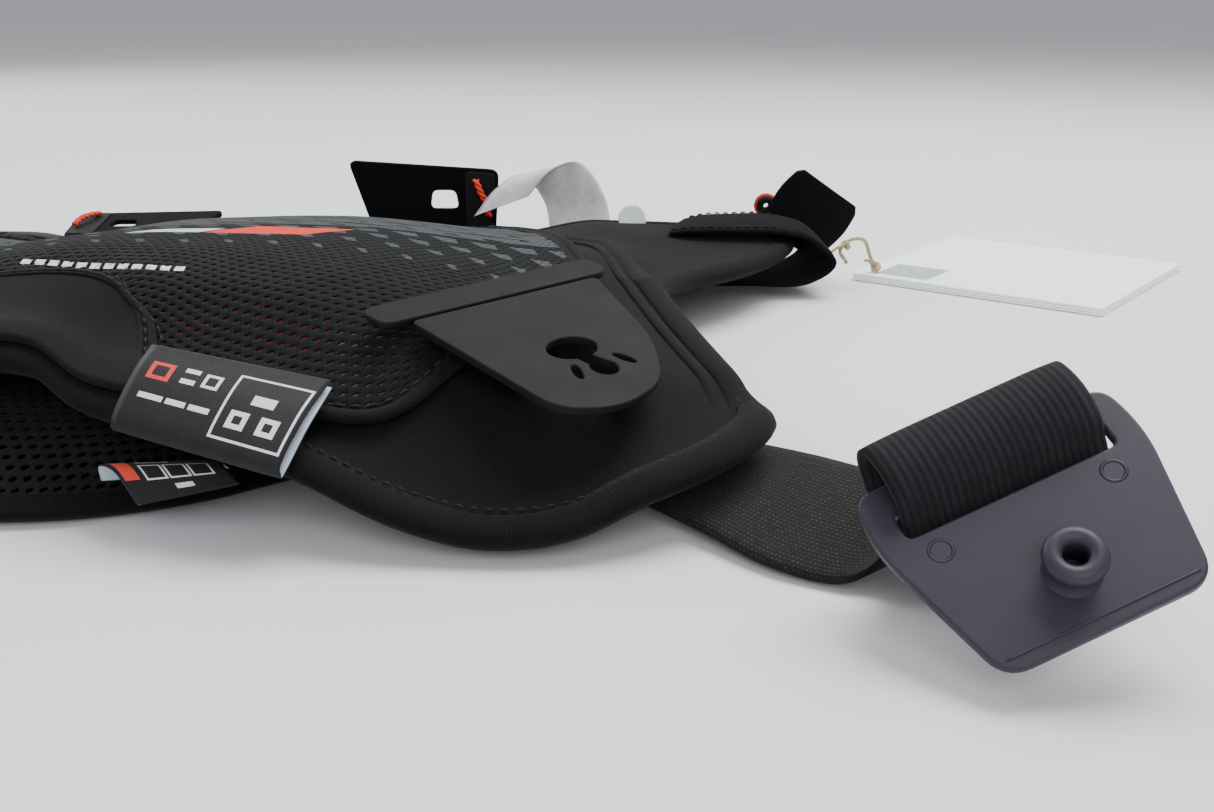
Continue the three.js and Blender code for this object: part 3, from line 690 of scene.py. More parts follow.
def plate_from_outline(name, outer, holes, thickness, look, matrix, bevel=0.5):
    """A flat plate with holes and rounded edges, laid in place by a matrix in millimetres."""
    curve = bpy.data.curves.new(name, "CURVE")
    curve.dimensions = "2D"
    curve.fill_mode = "BOTH"
    curve.extrude = (thickness / 2 - bevel) * MM
    curve.bevel_depth = bevel * MM
    curve.bevel_resolution = 3
    curve.offset = -bevel * MM
    for points in [outer, *holes]:
        spline = curve.splines.new("POLY")
        spline.points.add(len(points) - 1)
        for slot_point, (x, y) in zip(spline.points, points):
            slot_point.co = (x * MM, y * MM, 0.0, 1.0)
        spline.use_cyclic_u = True
    source = bpy.data.objects.new(name + "_curve", curve)
    bpy.context.scene.collection.objects.link(source)
    mesh = bpy.data.meshes.new_from_object(source)
    bpy.data.objects.remove(source)
    put(mesh, matrix)
    mesh.materials.clear()
    mesh.materials.append(look.material)
    for polygon in mesh.polygons:
        polygon.use_smooth = True
    made = bpy.data.objects.new(name, mesh)
    bpy.context.scene.collection.objects.link(made)
    weld = made.modifiers.new("weld", "WELD")
    weld.merge_threshold = 1e-6
    made.modifiers.new("sharp", "WEIGHTED_NORMAL").keep_sharp = True
    return made


CORNER_POINTS, ELLIPSE_POINTS = 8, 28


def round_corners(corners, radius):
    points = []
    count = len(corners)
    for k in range(count):
        c = np.array(corners[k], float)
        a, b = np.array(corners[k - 1]) - c, np.array(corners[(k + 1) % count]) - c
        r = radius[k] if isinstance(radius, (list, tuple)) else radius
        a, b = c + unit(a) * r, c + unit(b) * r
        for t in np.linspace(0, 1, CORNER_POINTS):
            points.append((1 - t) ** 2 * a + 2 * t * (1 - t) * c + t ** 2 * b)
    return points


def ellipse(cx, cy, rx, ry, start=0.0, end=2 * math.pi, turn=0.0):
    closed = abs(end - start - 2 * math.pi) < 1e-6
    angles = np.linspace(start, end, ELLIPSE_POINTS, endpoint=not closed)
    x, y = rx * np.cos(angles), ry * np.sin(angles)
    return [(cx + p * math.cos(turn) - q * math.sin(turn), cy + p * math.sin(turn) + q * math.cos(turn))
            for p, q in zip(x, y)]


def lathe(name, outline, look, matrix, sides=48):
    """A closed (radius, height) outline turned round the matrix's z axis."""
    verts, faces = [], []
    n = len(outline)
    for k in range(sides):
        a = 2 * math.pi * k / sides
        verts += [(r * math.cos(a), r * math.sin(a), h) for r, h in outline]
    for k in range(sides):
        m = (k + 1) % sides
        for i in range(n):
            j = (i + 1) % n
            faces.append((k * n + i, m * n + i, m * n + j, k * n + j))
    made = mesh_object(name, verts, faces, [look])
    put(made.data, matrix)
    return made


def mirror_points(points, sign):
    return [(np.asarray(p, float) * np.array([sign, 1.0, 1.0])) for p in points]


def mirror_stations(stations, sign):
    """The same band on the other side, its upper face still up."""
    if sign > 0:
        return stations
    flip = np.array([-1.0, 1.0, 1.0])
    return [(np.asarray(c, float) * flip, -np.asarray(h, float) * flip) for c, h in stations]


def join(name, parts):
    """One object from several, keeping each one's materials."""
    bpy.ops.object.select_all(action="DESELECT")
    for p in parts:
        p.select_set(True)
    bpy.context.view_layer.objects.active = parts[0]
    bpy.ops.object.convert(target="MESH")
    bpy.ops.object.join()
    parts[0].name = name
    return parts[0]


def finish_piece(piece, body, nodes=()):
    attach(piece, body)
    if nodes:
        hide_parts(*nodes)
    return piece


CLOTH_FRAMES = 20


def swelled(piece, voxel_mm, cap_mm):
    """Foam as cloth under a light inner pressure, remeshed evenly and inflated by at most cap_mm."""
    scene = bpy.context.scene
    even = piece.modifiers.new("even", "REMESH")
    even.mode = "VOXEL"
    even.voxel_size = voxel_mm * MM
    even.use_smooth_shade = True
    graph = bpy.context.evaluated_depsgraph_get()
    mesh = bpy.data.meshes.new_from_object(piece.evaluated_get(graph))
    piece.modifiers.clear()
    piece.data = mesh
    before = vertex_places(mesh)
    cloth = piece.modifiers.new("cloth", "CLOTH")
    cloth.settings.use_pressure = True
    cloth.settings.uniform_pressure_force = 4.0
    cloth.settings.effector_weights.gravity = 0.0
    for number in range(1, CLOTH_FRAMES + 1):
        scene.frame_set(number)
    graph = bpy.context.evaluated_depsgraph_get()
    after = vertex_places(piece.evaluated_get(graph).data)
    piece.modifiers.clear()
    scene.frame_set(1)
    shift = after - before
    far = np.linalg.norm(shift, axis=1, keepdims=True)
    shift *= np.minimum(1.0, cap_mm * MM / np.maximum(far, 1e-9))
    mesh.vertices.foreach_set("co", (before + shift).astype(np.float32).ravel())
    mesh.update()
    smooth = piece.modifiers.new("smooth", "SUBSURF")
    smooth.levels = 1
    smooth.render_levels = 1


def vertex_places(mesh):
    flat = np.zeros(len(mesh.vertices) * 3, np.float32)
    mesh.vertices.foreach_get("co", flat)
    return flat.reshape(-1, 3).astype(float)


# ---- twine, which is a cord and so comes first ---------------------------------------------------
TWINE_ROUTE = [
    (236, 104, 10), (233, 103, 15), (236, 102.5, 19), (241, 104, 19.5), (244, 108, 17),
    (246, 112, 13), (248, 115, 9), (250, 117, 6.5), (251, 118, 4.6),
]
twine_track = Track(TWINE_ROUTE)
twine_path = twine_track.at(np.linspace(0, 1, 40))
TWIST = 2.2


def strand(phase):
    share = np.linspace(0, 1, 90)
    centre, tangent = twine_track.at(share), twine_track.tangent(share)
    side = unit(np.cross(tangent, [0.0, 0.0, 1.0]))
    over = np.cross(side, tangent)
    a = share * twine_track.length / TWIST * 2 * math.pi + phase
    return centre + 0.38 * (np.cos(a)[:, None] * side + np.sin(a)[:, None] * over)


strands = [tube("strand", strand(k * 2 * math.pi / 3), 0.43, JUTE, sides=7, steps=110) for k in range(3)]
twine = join("twine", strands)


def knot(name, at, across, tail):
    """Two tight turns of twine with a short loose end."""
    a = np.linspace(0, 4 * math.pi, 60)
    turn = np.stack([1.5 * np.cos(a), 1.3 * np.sin(a), 0.42 * (a - 2 * math.pi) / math.pi], -1)
    axis = unit(across)
    side = unit(np.cross(axis, [0.0, 0.0, 1.0]))
    basis = np.stack([side, np.cross(axis, side), axis])
    coil = np.array(at) + turn @ basis
    loose = [coil[-1], (coil[-1] + np.array(tail)) / 2 + np.array((0, 0, 0.8)), np.array(tail)]
    return join(name, [tube("coil", coil, 0.75, JUTE, 8, 120), tube("end", loose, 0.6, JUTE, 7, 24)])


knots = [knot("twine_knot_front", (235.2, 102.9, 17.2), (1, 0.2, 1.2), (229.0, 101.5, 14.5)),
         knot("twine_knot_tag", (250.4, 117.4, 5.6), (-1, -1, 2.4), (246.5, 121.0, 7.4))]
for piece, body in zip(knots, ("front_panel", "back_panel")):
    finish_piece(piece, body)
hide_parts("tag_twine")
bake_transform(twine)

# ---- front panel surface -------------------------------------------------------------------------
FRONT_HALF = [
    (0, -113), (13, -115), (27, -124), (48, -131), (72, -140), (100, -149), (130, -151), (152, -144),
    (170, -130), (179, -114), (174, -92), (164, -55), (157, -24), (159, 0), (169, 26), (188, 50),
    (202, 71), (212, 94), (208, 110), (192, 119), (165, 123), (125, 124), (92, 119), (68, 101), (38, 89),
    (0, 85),
]
FRONT_SHARES = (0.133, 0.361)
front_outline = Outline(FRONT_HALF)
hem_at = profile([(0, -113), (13, -115), (27, -124), (48, -131), (72, -140), (100, -149),
                  (130, -151), (152, -144), (170, -130), (179, -114)])
hem_height = profile([(0, 35.5), (13, 34), (27, 28.5), (42, 26.5), (56, 24.5), (68, 22), (80, 18.5),
                      (96, 12.5), (112, 8.6), (125, 8.4), (136, 10.2), (146, 14), (153, 16), (172, 19),
                      (180, 20.5)])
ridge_height = profile([(-113, 36), (-88, 41.5), (-52, 42), (8, 34.5), (58, 28.5), (90, 23.5),
                        (130, 18.5)])
edge_height = profile([(-151, 9), (-130, 16.5), (-102, 20.5), (-55, 27), (-25, 31.5), (0, 34),
                       (28, 31), (62, 23), (90, 18), (130, 15)])
half_width = profile([(-151, 150), (-130, 170), (-114, 179), (-92, 174), (-55, 164), (-24, 157),
                      (0, 159), (26, 169), (50, 188), (71, 202), (94, 212), (130, 212)])
WING_FOLD = (138, 158)
wing_drop = profile([(-30, 0), (0, 8.5), (26, 9.5), (50, 5.5), (71, 2), (90, 0)])
WING_RISE = (104, 138)
wing_rise = profile([(40, 0), (70, 1), (90, 3.6), (108, 5.2), (130, 5.2)])
SAG, SAG_AT, SAG_REACH = 9.0, -60.0, 45.0


def front_height(x, y):
    across = np.minimum(np.abs(x) / half_width(y), 1.0)
    edge = edge_height(y)
    sunk = SAG * np.exp(-((x - SAG_AT) / SAG_REACH) ** 2) * (1 - smoothstep(y, 60, 110))
    folded = wing_drop(y) * smoothstep(np.abs(x), *WING_FOLD)
    raised = wing_rise(y) * smoothstep(np.abs(x), *WING_RISE)
    body = ridge_height(y) + (edge - ridge_height(y)) * across ** 2.3 - sunk - folded + raised
    hem = hem_height(np.abs(x))
    return hem + (body - hem) * smoothstep(y - hem_at(np.abs(x)), 0.0, HEM_BLEND)


def ripple(x, y, seed=0.0):
    """Shallow unevenness of a soft panel, in millimetres."""
    return (0.35 * np.sin(x / 17.0 + seed) * np.sin(y / 23.0 + 1.3 + seed)
            + 0.2 * np.sin(x / 7.1 - y / 9.3 + seed))


def front_point(x, y, rise):
    return np.stack([x, y, front_height(x, y) + rise], axis=-1)


def panel_layer(name, patch, height, above, below, looks, columns, rows, bulge=0.3, wave=0.0):
    u, v = np.meshgrid(np.linspace(0, 1, columns + 1), np.linspace(0, 1, rows + 1))
    plan = patch(u, v)
    x, y = plan[..., 0], plan[..., 1]
    z = height(x, y) + wave * ripple(x, y)
    top = np.stack([x, y, z + above(u, v)], -1)
    bottom = np.stack([x, y, z + below(u, v)], -1)
    return rounded_slab(name, top, bottom, looks, plan, 0, bulge)


carrier_patch = coons(front_outline.inset_by(2.6), *FRONT_SHARES)
carrier = panel_layer("front_border", carrier_patch, front_height, lambda u, v: 0.0 * u,
                      lambda u, v: 0.0 * u - CARRIER, [NEOPRENE], 110, 90, 0.0, 0.5)
finish_piece(carrier, "front_panel", ["front_carrier"])


def liner_point(u, v):
    plan = carrier_patch(u, v)
    return front_point(plan[..., 0], plan[..., 1], -CARRIER - 0.4)


liner = perforated("front_spacer_liner", liner_point, 74, 60, (0.26, 0.3), 1.0, [SPACER])
finish_piece(liner, "front_panel", ["front_liner"])


# ---- mesh centre over the red impact pad ---------------------------------------------------------
MESH_HALF = [
    (0, -102), (30, -105), (48, -117), (72, -126), (94, -126), (112, -106), (129, -74), (135, -50),
    (130, -20), (122, 14), (112, 52), (96, 84), (70, 82), (38, 74), (0, 70),
]
MESH_SHARES = (0.142, 0.395)
mesh_outline = Outline(MESH_HALF)
mesh_patch = coons(mesh_outline, *MESH_SHARES)


def pad_rise(u, v):
    across = smoothstep(np.minimum(u, 1 - u), 0, 0.26)
    along = smoothstep(np.minimum(v, 1 - v), 0, 0.22)
    return 2.2 + PAD_RISE * across * along


def mesh_point(u, v):
    plan = mesh_patch(u, v)
    x, y = plan[..., 0], plan[..., 1]
    return front_point(x, y, pad_rise(u, v) + 1.6 + 0.6 * ripple(x, y))


pad_patch = coons(mesh_outline.inset_by(2.0), *MESH_SHARES)
pad = panel_layer("chest_pad", pad_patch, front_height, lambda u, v: pad_rise(u, v) + 0.5,
                  lambda u, v: 0.8 + 0 * u, [red_foam_look()], 60, 44, 0.4)
finish_piece(pad, "front_panel", ["chest_impact_pad"])

chest_mesh = perforated("chest_mesh", mesh_point, 88, 80, (0.27, 0.16), 0.4, [PRINTED_MESH], 0.5)
finish_piece(chest_mesh, "front_panel", ["front_mesh_cover"])


def mesh_line(inset, rise, count):
    """Points just over the panel along the mesh's outline."""
    plan = mesh_outline.inset_by(inset).at(np.linspace(0.004, 0.996, count))
    return front_point(plan[..., 0], plan[..., 1], rise)


# The neoprene frame folds over the mesh's edge in a raised, twice stitched seam.
seam = tube("mesh_seam", mesh_line(-0.6, 2.6, 300), 2.5, NEOPRENE, 10, 520, 0.62)
finish_piece(seam, "front_panel")
for k, inset in enumerate((-1.5, 0.5)):
    row = stitches(f"mesh_seam_stitches_{k}", mesh_line(inset, 3.9, 400))
    finish_piece(row, "front_panel")

for side, sign in SIDES:
    share = np.linspace(0.2, 0.385, 90)
    plan = mesh_outline.inset_by(-3.4).at(share)
    line = front_point(plan[..., 0], plan[..., 1], 3.2)
    ridge = tube(f"mesh_piping_{side}_roll", mirror_points(line, sign), 1.7, NEOPRENE, 10, 150)
    finish_piece(ridge, "front_panel", [f"mesh_piping_{side}"])


# ---- centre insert -------------------------------------------------------------------------------
insert_width = profile([(0, 43), (0.3, 40), (0.75, 35), (1, 28)])


def insert_point(u, v, rise):
    x = (2 * u - 1) * insert_width(v)
    near = hem_at(np.abs(x)) + 2.0
    far = -85 - 10 * np.abs(2 * u - 1) ** 3
    y = near + (far - near) * v
    above = 4.8 + 3.0 * smoothstep(y, -106, -80)
    return front_point(x, y, above * smoothstep(v, -0.35, 0.25) + rise + 0.3 * ripple(x, y, 2.0))


iu, iv = np.meshgrid(np.linspace(0, 1, 61), np.linspace(0, 1, 41))
insert = rounded_slab("hem_insert", insert_point(iu, iv, 0.6), insert_point(iu, iv, -1.2), [STRETCH],
                      None, 0, 0.5)
finish_piece(insert, "front_panel", ["centre_insert"])


def insert_rim(margin, rise):
    """Points along the insert's sides and top, at a margin from its edge."""
    low, high = margin / 90.0, 1 - margin / 90.0
    up, flat = np.linspace(0.02, high, 40), np.ones(40)
    left = insert_point(low * flat, up, rise)
    top = insert_point(np.linspace(low, high, 40), high * flat, rise)
    right = insert_point(high * flat, up[::-1], rise)
    return np.vstack([left[:-1], top[1:-1], right[1:]])[::3]


rim = tube("insert_piping", insert_rim(-1.0, 0.3), 1.1, STRETCH, 10, 200, 0.7)
ridge = tube("insert_ridge", insert_rim(2.6, 0.5), 0.8, STRETCH, 8, 200, 0.6)
finish_piece(ridge, "front_panel")
finish_piece(rim, "front_panel")
for k, margin in enumerate((1.2, -4.4)):
    row = stitches(f"insert_stitches_{k}", insert_rim(margin, 1.0 - 0.5 * k))
    finish_piece(row, "front_panel")


# ---- bindings ------------------------------------------------------------------------------------
def binding(name, outline, height, start, end, body, node, thick, steps=700, look=GROSGRAIN):
    """A tape folded over an edge, a little wider on its upper side."""
    share = np.linspace(start, end, steps)
    plan = outline.at(share)
    inward = outline.inset_by(1.0).at(share) - plan
    z = height(plan[:, 0], plan[:, 1])
    half = thick / 2
    section = [(6.6, half + 0.55), (3.5, half + 0.9), (0.4, half + 0.55), (-1.7, half * 0.55),
               (-2.3, 0.0), (-1.7, -half * 0.55), (0.4, -half - 0.5), (3.5, -half - 0.75),
               (6.0, -half - 0.45), (6.0, -half + 0.3), (2.0, -half + 0.4), (-0.6, 0.0),
               (2.0, half - 0.4), (6.6, half - 0.2)]
    rings = np.stack([np.stack([plan[:, 0] + inward[:, 0] * a, plan[:, 1] + inward[:, 1] * a, z + b], -1)
                      for a, b in section], axis=1)
    around = run_length(np.array(section))
    uvs = np.stack([np.repeat(run_length(plan), len(section)), np.tile(around, steps)], -1)
    made = mesh_object(name, rings.reshape(-1, 3), ring_faces(steps, len(section)), [look], uvs)
    made.data.flip_normals()
    return finish_piece(made, body, [node])


# The lobe's side edge is folded over: a soft double ridge that runs on over the wing's root.
LOBE_FOLD = [(170.5, -124), (173, -112), (172, -99), (168, -86), (159.5, -55), (152.5, -24), (147, 6),
             (141, 32), (132, 50), (122, 60)]
for side, sign in SIDES:
    for k, (shift, fat, rise) in enumerate(((0.0, 3.4, 0.4), (6.5, 1.5, 0.5))):
        share = np.linspace(0, 1, 120)
        plan = Track([(x - shift, y) for x, y in LOBE_FOLD]).at(share)
        line = front_point(plan[:, 0] * sign, plan[:, 1], rise - 2.8 * (1 - smoothstep(share, 0.0, 0.16)))
        fold = tube(f"lobe_fold_{side}_{k}", line, fat, NEOPRENE, 12, 220, 0.6)
        finish_piece(fold, "front_panel")

WING_START, WING_END, TAPE_GAP = 0.2360, 0.4212, 0.0003


def front_edge(x, y):
    return front_height(x, y) - CARRIER / 2


for name, start, end, node, steps, look, slot in (
        ("hem_tape", -WING_START, WING_START, "front_binding", 560, GROSGRAIN, "binding"),
        ("wing_tape_left", WING_START, WING_END, "wing_binding_left", 200, BIAS, "bias_tape"),
        ("neck_tape", WING_END, 1 - WING_END, "neck_band", 180, NECK_BAND, "neck_rib"),
        ("wing_tape_right", 1 - WING_END, 1 - WING_START, "wing_binding_right", 200, BIAS, "bias_tape")):
    binding(name, front_outline.inset_by(0.4), front_edge, start + TAPE_GAP, end - TAPE_GAP, "front_panel",
            node, CARRIER, steps, look)


share = np.linspace(0.004 - WING_START, WING_START - 0.004, 500)
plan = front_outline.inset_by(5.6).at(share)
hem_row = stitches("front_binding_stitches", front_point(plan[:, 0], plan[:, 1], 0.95), 2.2, 1.0)
finish_piece(hem_row, "front_panel")


# ---- keyhole flaps -------------------------------------------------------------------------------
def frame_matrix(x, y, z, origin, sign=1.0):
    m = Matrix([[*[a[k] for a in (x, y, z)], origin[k]] for k in range(3)] + [[0, 0, 0, 1]])
    if sign < 0:
        m = Matrix.Diagonal((-1.0, 1.0, 1.0, 1.0)) @ m
    return m


FLAP_HINGE = np.array([118.5, -92.0, 42.0])
flap_along = unit([31.5, -34.0, -12.5])
flap_across = np.array([45.0, 40.0, 2.0])
flap_across = unit(flap_across - flap_along * flap_across.dot(flap_along))
flap_normal = np.cross(flap_along, flap_across)
KEY, NECK = (27.0, -3.0), (37.0, -2.0)
KEY_HALF, NECK_RADIUS, NECK_HALF = (4.6, 6.6), 3.3, 2.2
neck_angle = math.asin(NECK_HALF / NECK_RADIUS)
keyhole = ellipse(*KEY, *KEY_HALF, 0.32, 2 * math.pi - 0.32)
keyhole += ellipse(*NECK, NECK_RADIUS, NECK_RADIUS, math.pi + neck_angle, 3 * math.pi - neck_angle)
slits = [ellipse(NECK[0] - 1, NECK[1] + s * 7, 3, 1.1, turn=s * 0.4) for s in (-1, 1)]
flap_outline = round_corners([(0.8, -29), (46, -23), (52, -10), (48, 6), (32, 18), (0.8, 27)],
                             [2.5, 6, 7, 7, 8, 2.5])
base_outline = round_corners([(-9, -36), (-0.2, -36), (-0.2, 33), (-9, 33)], 4.2)

for side, sign in SIDES:
    place = frame_matrix(flap_along, flap_across, flap_normal, FLAP_HINGE, sign)
    flap = plate_from_outline(f"strap_flap_{side}", flap_outline, [keyhole, *slits], 2.0, TPU, place, 0.45)
    finish_piece(flap, f"keyhole_flap_{side}", [f"keyhole_flap_{side}"])
    base = plate_from_outline(f"flap_weld_{side}", base_outline, [], 2.0, TPU, place, 0.6)
    finish_piece(base, "front_panel", [f"flap_base_{side}"])

# ---- side straps and hook plates -----------------------------------------------------------------
SLOT = np.array([213.1, -178.3, 28.7])
plate_across = unit([0.9115, 0.195, 0.362])
plate_up = np.array([-0.366, 0.787, 0.497])
plate_up = unit(plate_up - plate_across * plate_up.dot(plate_across))
plate_normal = np.cross(plate_across, plate_up)
plate_half = plate_across * (STRAP_WIDTH / 2 + 0.1)


def on_plate(up, out):
    return SLOT + plate_up * up + plate_normal * out


STRAP_STATIONS = [
    ((113, -62, 14.6), (13.8, 13.4, -1.5)), ((124, -73.5, 13), (14.2, 13.8, -0.6)),
    ((134, -84, 9), (14.2, 13.8, 0)), ((146, -96, 6), (14.2, 13.8, 0.6)), ((161, -111, 6), (14, 13.6, 1.6)),
    ((176, -129, 7), (13.8, 13.2, 3.4)), ((190, -145, 7.2), (14.8, 11.8, 5)),
    ((205, -156, 8.8), (16.4, 8.4, 6.2)), (on_plate(7, -20), plate_half), (on_plate(13, -9), plate_half),
    (on_plate(17, -1.5), plate_half), (on_plate(15, 4.6), plate_half), (on_plate(8, 6.6), plate_half),
    (on_plate(2.4, 4.4), plate_half), (on_plate(0, 0), plate_half), (on_plate(-3, -4.2), plate_half),
    (on_plate(-10, -5.6), plate_half), (on_plate(-16, -6), plate_half),
]
STRAP_ROWS, STRAP_COLUMNS = 260, 16
LOOP_ROWS = int(STRAP_ROWS * 7.9 / (len(STRAP_STATIONS) - 1))

plate_outline = round_corners([(-25.5, 9.2), (-27, -2), (-19.5, -32), (19.5, -32), (27, -2), (25.5, 9.2)],
                              [4, 6, 5, 5, 6, 4])
slot_outline = round_corners([(-20.8, -2.7), (20.8, -2.7), (20.8, 2.7), (-20.8, 2.7)], 1.5)
STUD = (0.0, -20.5)
stud_outline = [(2.1, -0.6), (5.8, -0.6), (5.0, 0.1), (4.2, 1.2), (3.95, 3.0), (4.5, 3.7), (5.2, 4.3),
                (5.5, 5.1), (5.3, 6.0), (4.6, 6.7), (3.7, 6.9), (2.9, 6.7), (2.3, 6.2), (2.1, 5.4)]

for side, sign in SIDES:
    strap = band(f"elastic_strap_{side}", mirror_stations(STRAP_STATIONS, sign), STRAP_THICKNESS,
                 [ELASTIC_LOOPS, ELASTIC_FACE], STRAP_ROWS, STRAP_COLUMNS, rim=1)
    face_quads = STRAP_ROWS * STRAP_COLUMNS
    for polygon in strap.data.polygons[:2 * face_quads]:
        polygon.material_index = int(polygon.index % face_quads >= LOOP_ROWS * STRAP_COLUMNS)
    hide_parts(f"side_strap_{side}", f"side_strap_base_{side}")
    flip = np.array([sign, 1.0, 1.0])
    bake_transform(strap)
    place = frame_matrix(plate_across, plate_up, plate_normal, SLOT, sign)
    plate = plate_from_outline(f"stud_plate_{side}", plate_outline, [slot_outline], 2.4, PLASTIC, place, 0.7)
    lift = Matrix.Translation((STUD[0], STUD[1], 1.2))
    stud = lathe(f"stud_{side}", stud_outline, PLASTIC, place @ lift)
    marks = []
    for x in (-17, 17):
        ring = [(1.75, 0.0), (2.1, 0.12), (2.45, 0.0), (2.1, -0.1)]
        marks.append(lathe("mark", ring, PLASTIC, place @ Matrix.Translation((x, -7.2, 1.2)), 32))
    rib = [(-18, -29.6, 1.25), (18, -29.6, 1.25)]
    rib_world = [np.array(SLOT + plate_across * p[0] + plate_up * p[1] + plate_normal * p[2]) * flip
                 for p in rib]
    marks.append(tube("rib", rib_world, 0.22, PLASTIC, 8, 30))
    whole = join(f"stud_plate_{side}", [plate, stud, *marks])
    finish_piece(whole, f"hook_plate_{side}", [f"hook_plate_{side}"])

# ---- back panel ----------------------------------------------------------------------------------
BACK_HALF = [
    (0, -132), (25, -130), (48, -121), (72, -102), (98, -86), (117, -76), (124, -56), (120, -12),
    (112, 38), (122, 88), (150, 116), (160, 141), (142, 158), (102, 168), (70, 187), (38, 201),
    (0, 204.4),
]
BACK_SHARES = (0.1, 0.36)
back_outline = Outline(BACK_HALF)
spine_height = profile([(-132, 14), (-122, 21), (-90, 19), (-40, 16), (10, 14), (60, 11.5),
                        (90, 9.5), (112, 7.2), (160, 7), (207, 8.5)])
back_patch = coons(back_outline.inset_by(2.6), *BACK_SHARES)


def back_height(u, v, y):
    rim_share = smoothstep(np.minimum(np.minimum(u, 1 - u), np.minimum(v, 1 - v)), 0, 0.14)
    return 6.0 + (spine_height(y) - 6.0) * np.sqrt(rim_share)


def back_point(u, v, rise=0.0):
    plan = back_patch(u, v)
    x, y = plan[..., 0], plan[..., 1]
    return np.stack([x, y, back_height(u, v, y) + rise + 0.5 * ripple(x, y, 4.0)], -1)


bu, bv = np.meshgrid(np.linspace(0, 1, 91), np.linspace(0, 1, 101))
core_top = back_point(bu, bv, -2.4)
core_bottom = core_top.copy()
core_bottom[..., 2] = 1.9
core = rounded_slab("back_foam", core_top, core_bottom, [UNDER_FOAM], None, 0, 0.5)
swelled(core, 5.0, 1.0)
finish_piece(core, "back_panel", ["back_foam_core"])
skin_top = core_bottom.copy()
skin_top[..., 2] = 1.5
skin_bottom = core_bottom.copy()
skin_bottom[..., 2] = 0.0
skin = rounded_slab("back_outer_skin", skin_top, skin_bottom, [NEOPRENE], None, 0, 0.2)
finish_piece(skin, "back_panel", ["back_cover"])
spacer = perforated("back_spacer_liner", back_point, 70, 90, (0.3, 0.33), 1.1, [SPACER])
finish_piece(spacer, "back_panel", ["back_mesh_liner"])
binding("back_edge_binding", back_outline.inset_by(0.4), lambda x, y: 3.2 + 0 * x, 0.0, 0.9994,
        "back_panel", "back_binding", 4.0, 500)

# ---- shoulder straps, their tabs, eyelets and neck pull tabs -------------------------------------
CROSS, LAID = (-4, 17, 0), (-1, 16.5, 0.4)
SHOULDER_STATIONS = [
    ((160, 100, 6.4), CROSS), ((190, 100, 6.2), CROSS), ((214, 101, 6.6), CROSS), ((224, 102, 13.5), CROSS),
    ((219, 102, 22.3), LAID), ((205, 101.5, 25.8), LAID), ((192, 101, 26), (-1, 16.8, 0.2)),
    ((179, 99.5, 26), (0, 16.2, 0)), ((171.5, 99, 25), (2, 15, -0.4)), ((168.5, 99, 23.8), (3, 13.6, -0.8)),
]
TAB_STATIONS = [((214.0, 119.6, 15.2), (9.0, 1.2, -5.5)), ((218.8, 121.6, 20.4), (12.4, 1.2, -8.6)),
                ((224.3, 121.9, 27.6), (13.2, 1.2, -9.4)), ((229.4, 121, 34.6), (12.2, 1.2, -8.8)),
                ((231.0, 120.8, 36.6), (10.6, 1.2, -7.4))]
for side, sign in SIDES:
    strap = band(f"shoulder_velour_{side}", mirror_stations(SHOULDER_STATIONS, sign), 2.4, [LOOP_PILE],
                 120, 12, 1.1)
    finish_piece(strap, "front_panel", [f"shoulder_strap_{side}"])
    for k, reach in enumerate((-0.86, 0.86)):
        line = [np.array(c) + np.array(h) * reach + np.array((0, 0, 1.5)) for c, h in SHOULDER_STATIONS[4:]]
        row = stitches(f"shoulder_seam_{side}_{k}", mirror_points(line, sign), stitch=2.2)
        finish_piece(row, "front_panel")
    tab = band(f"shoulder_end_tab_{side}", mirror_stations(TAB_STATIONS, sign), 2.6, [LOOP_PILE], 40, 20, 1.0)
    finish_piece(tab, f"shoulder_tab_{side}", [f"shoulder_tab_{side}"])
    eyelet_at = np.array([205.8 * sign, 124.6, 29.5])
    place = frame_matrix((1, 0, 0), (0, 0, 1), (0, -1, 0), eyelet_at)
    disc = lathe("eyelet", [(1.1, -0.9), (3.4, -0.9), (3.9, 0.0), (3.6, 3.2), (1.1, 3.2)], TPU, place, 32)
    ring = [eyelet_at + 4.0 * np.array([math.cos(a), -0.22, math.sin(a)]) for a in np.linspace(0, 6.2, 30)]
    rim = tube("eyelet_rim", ring, 0.8, ORANGE, 8, 60)
    finish_piece(join(f"eyelet_{side}", [disc, rim]), f"shoulder_tab_{side}",
                 [f"tab_eyelet_{side}"])
    half_round = [(5.5, -1.6), (5.5, 0.6)] + ellipse(0, 0.6, 5.5, 5.6, 0.1, math.pi - 0.1)
    half_round += [(-5.5, 0.6), (-5.5, -1.6)]
    upright = frame_matrix(unit((1, 0.18, 0)), unit((-0.05, 0.27, 0.96)), unit((0.17, -0.95, 0.27)),
                           (152, 116, 24.6), sign)
    pull = plate_from_outline(f"neck_pull_tab_{side}", half_round, [], 1.8, PALE, upright, 0.5)
    finish_piece(pull, "front_panel", [f"neck_pull_{side}"])

# ---- labels --------------------------------------------------------------------------------------
def folded_label(name, body, slot, node, width, stations, *shape, **more):
    """A folded label, made as a band through its stations; width, the width it has when it lies flat, is not
    used.
    """
    piece = band(name, stations, *shape, **more)
    finish_piece(piece, body, [node])


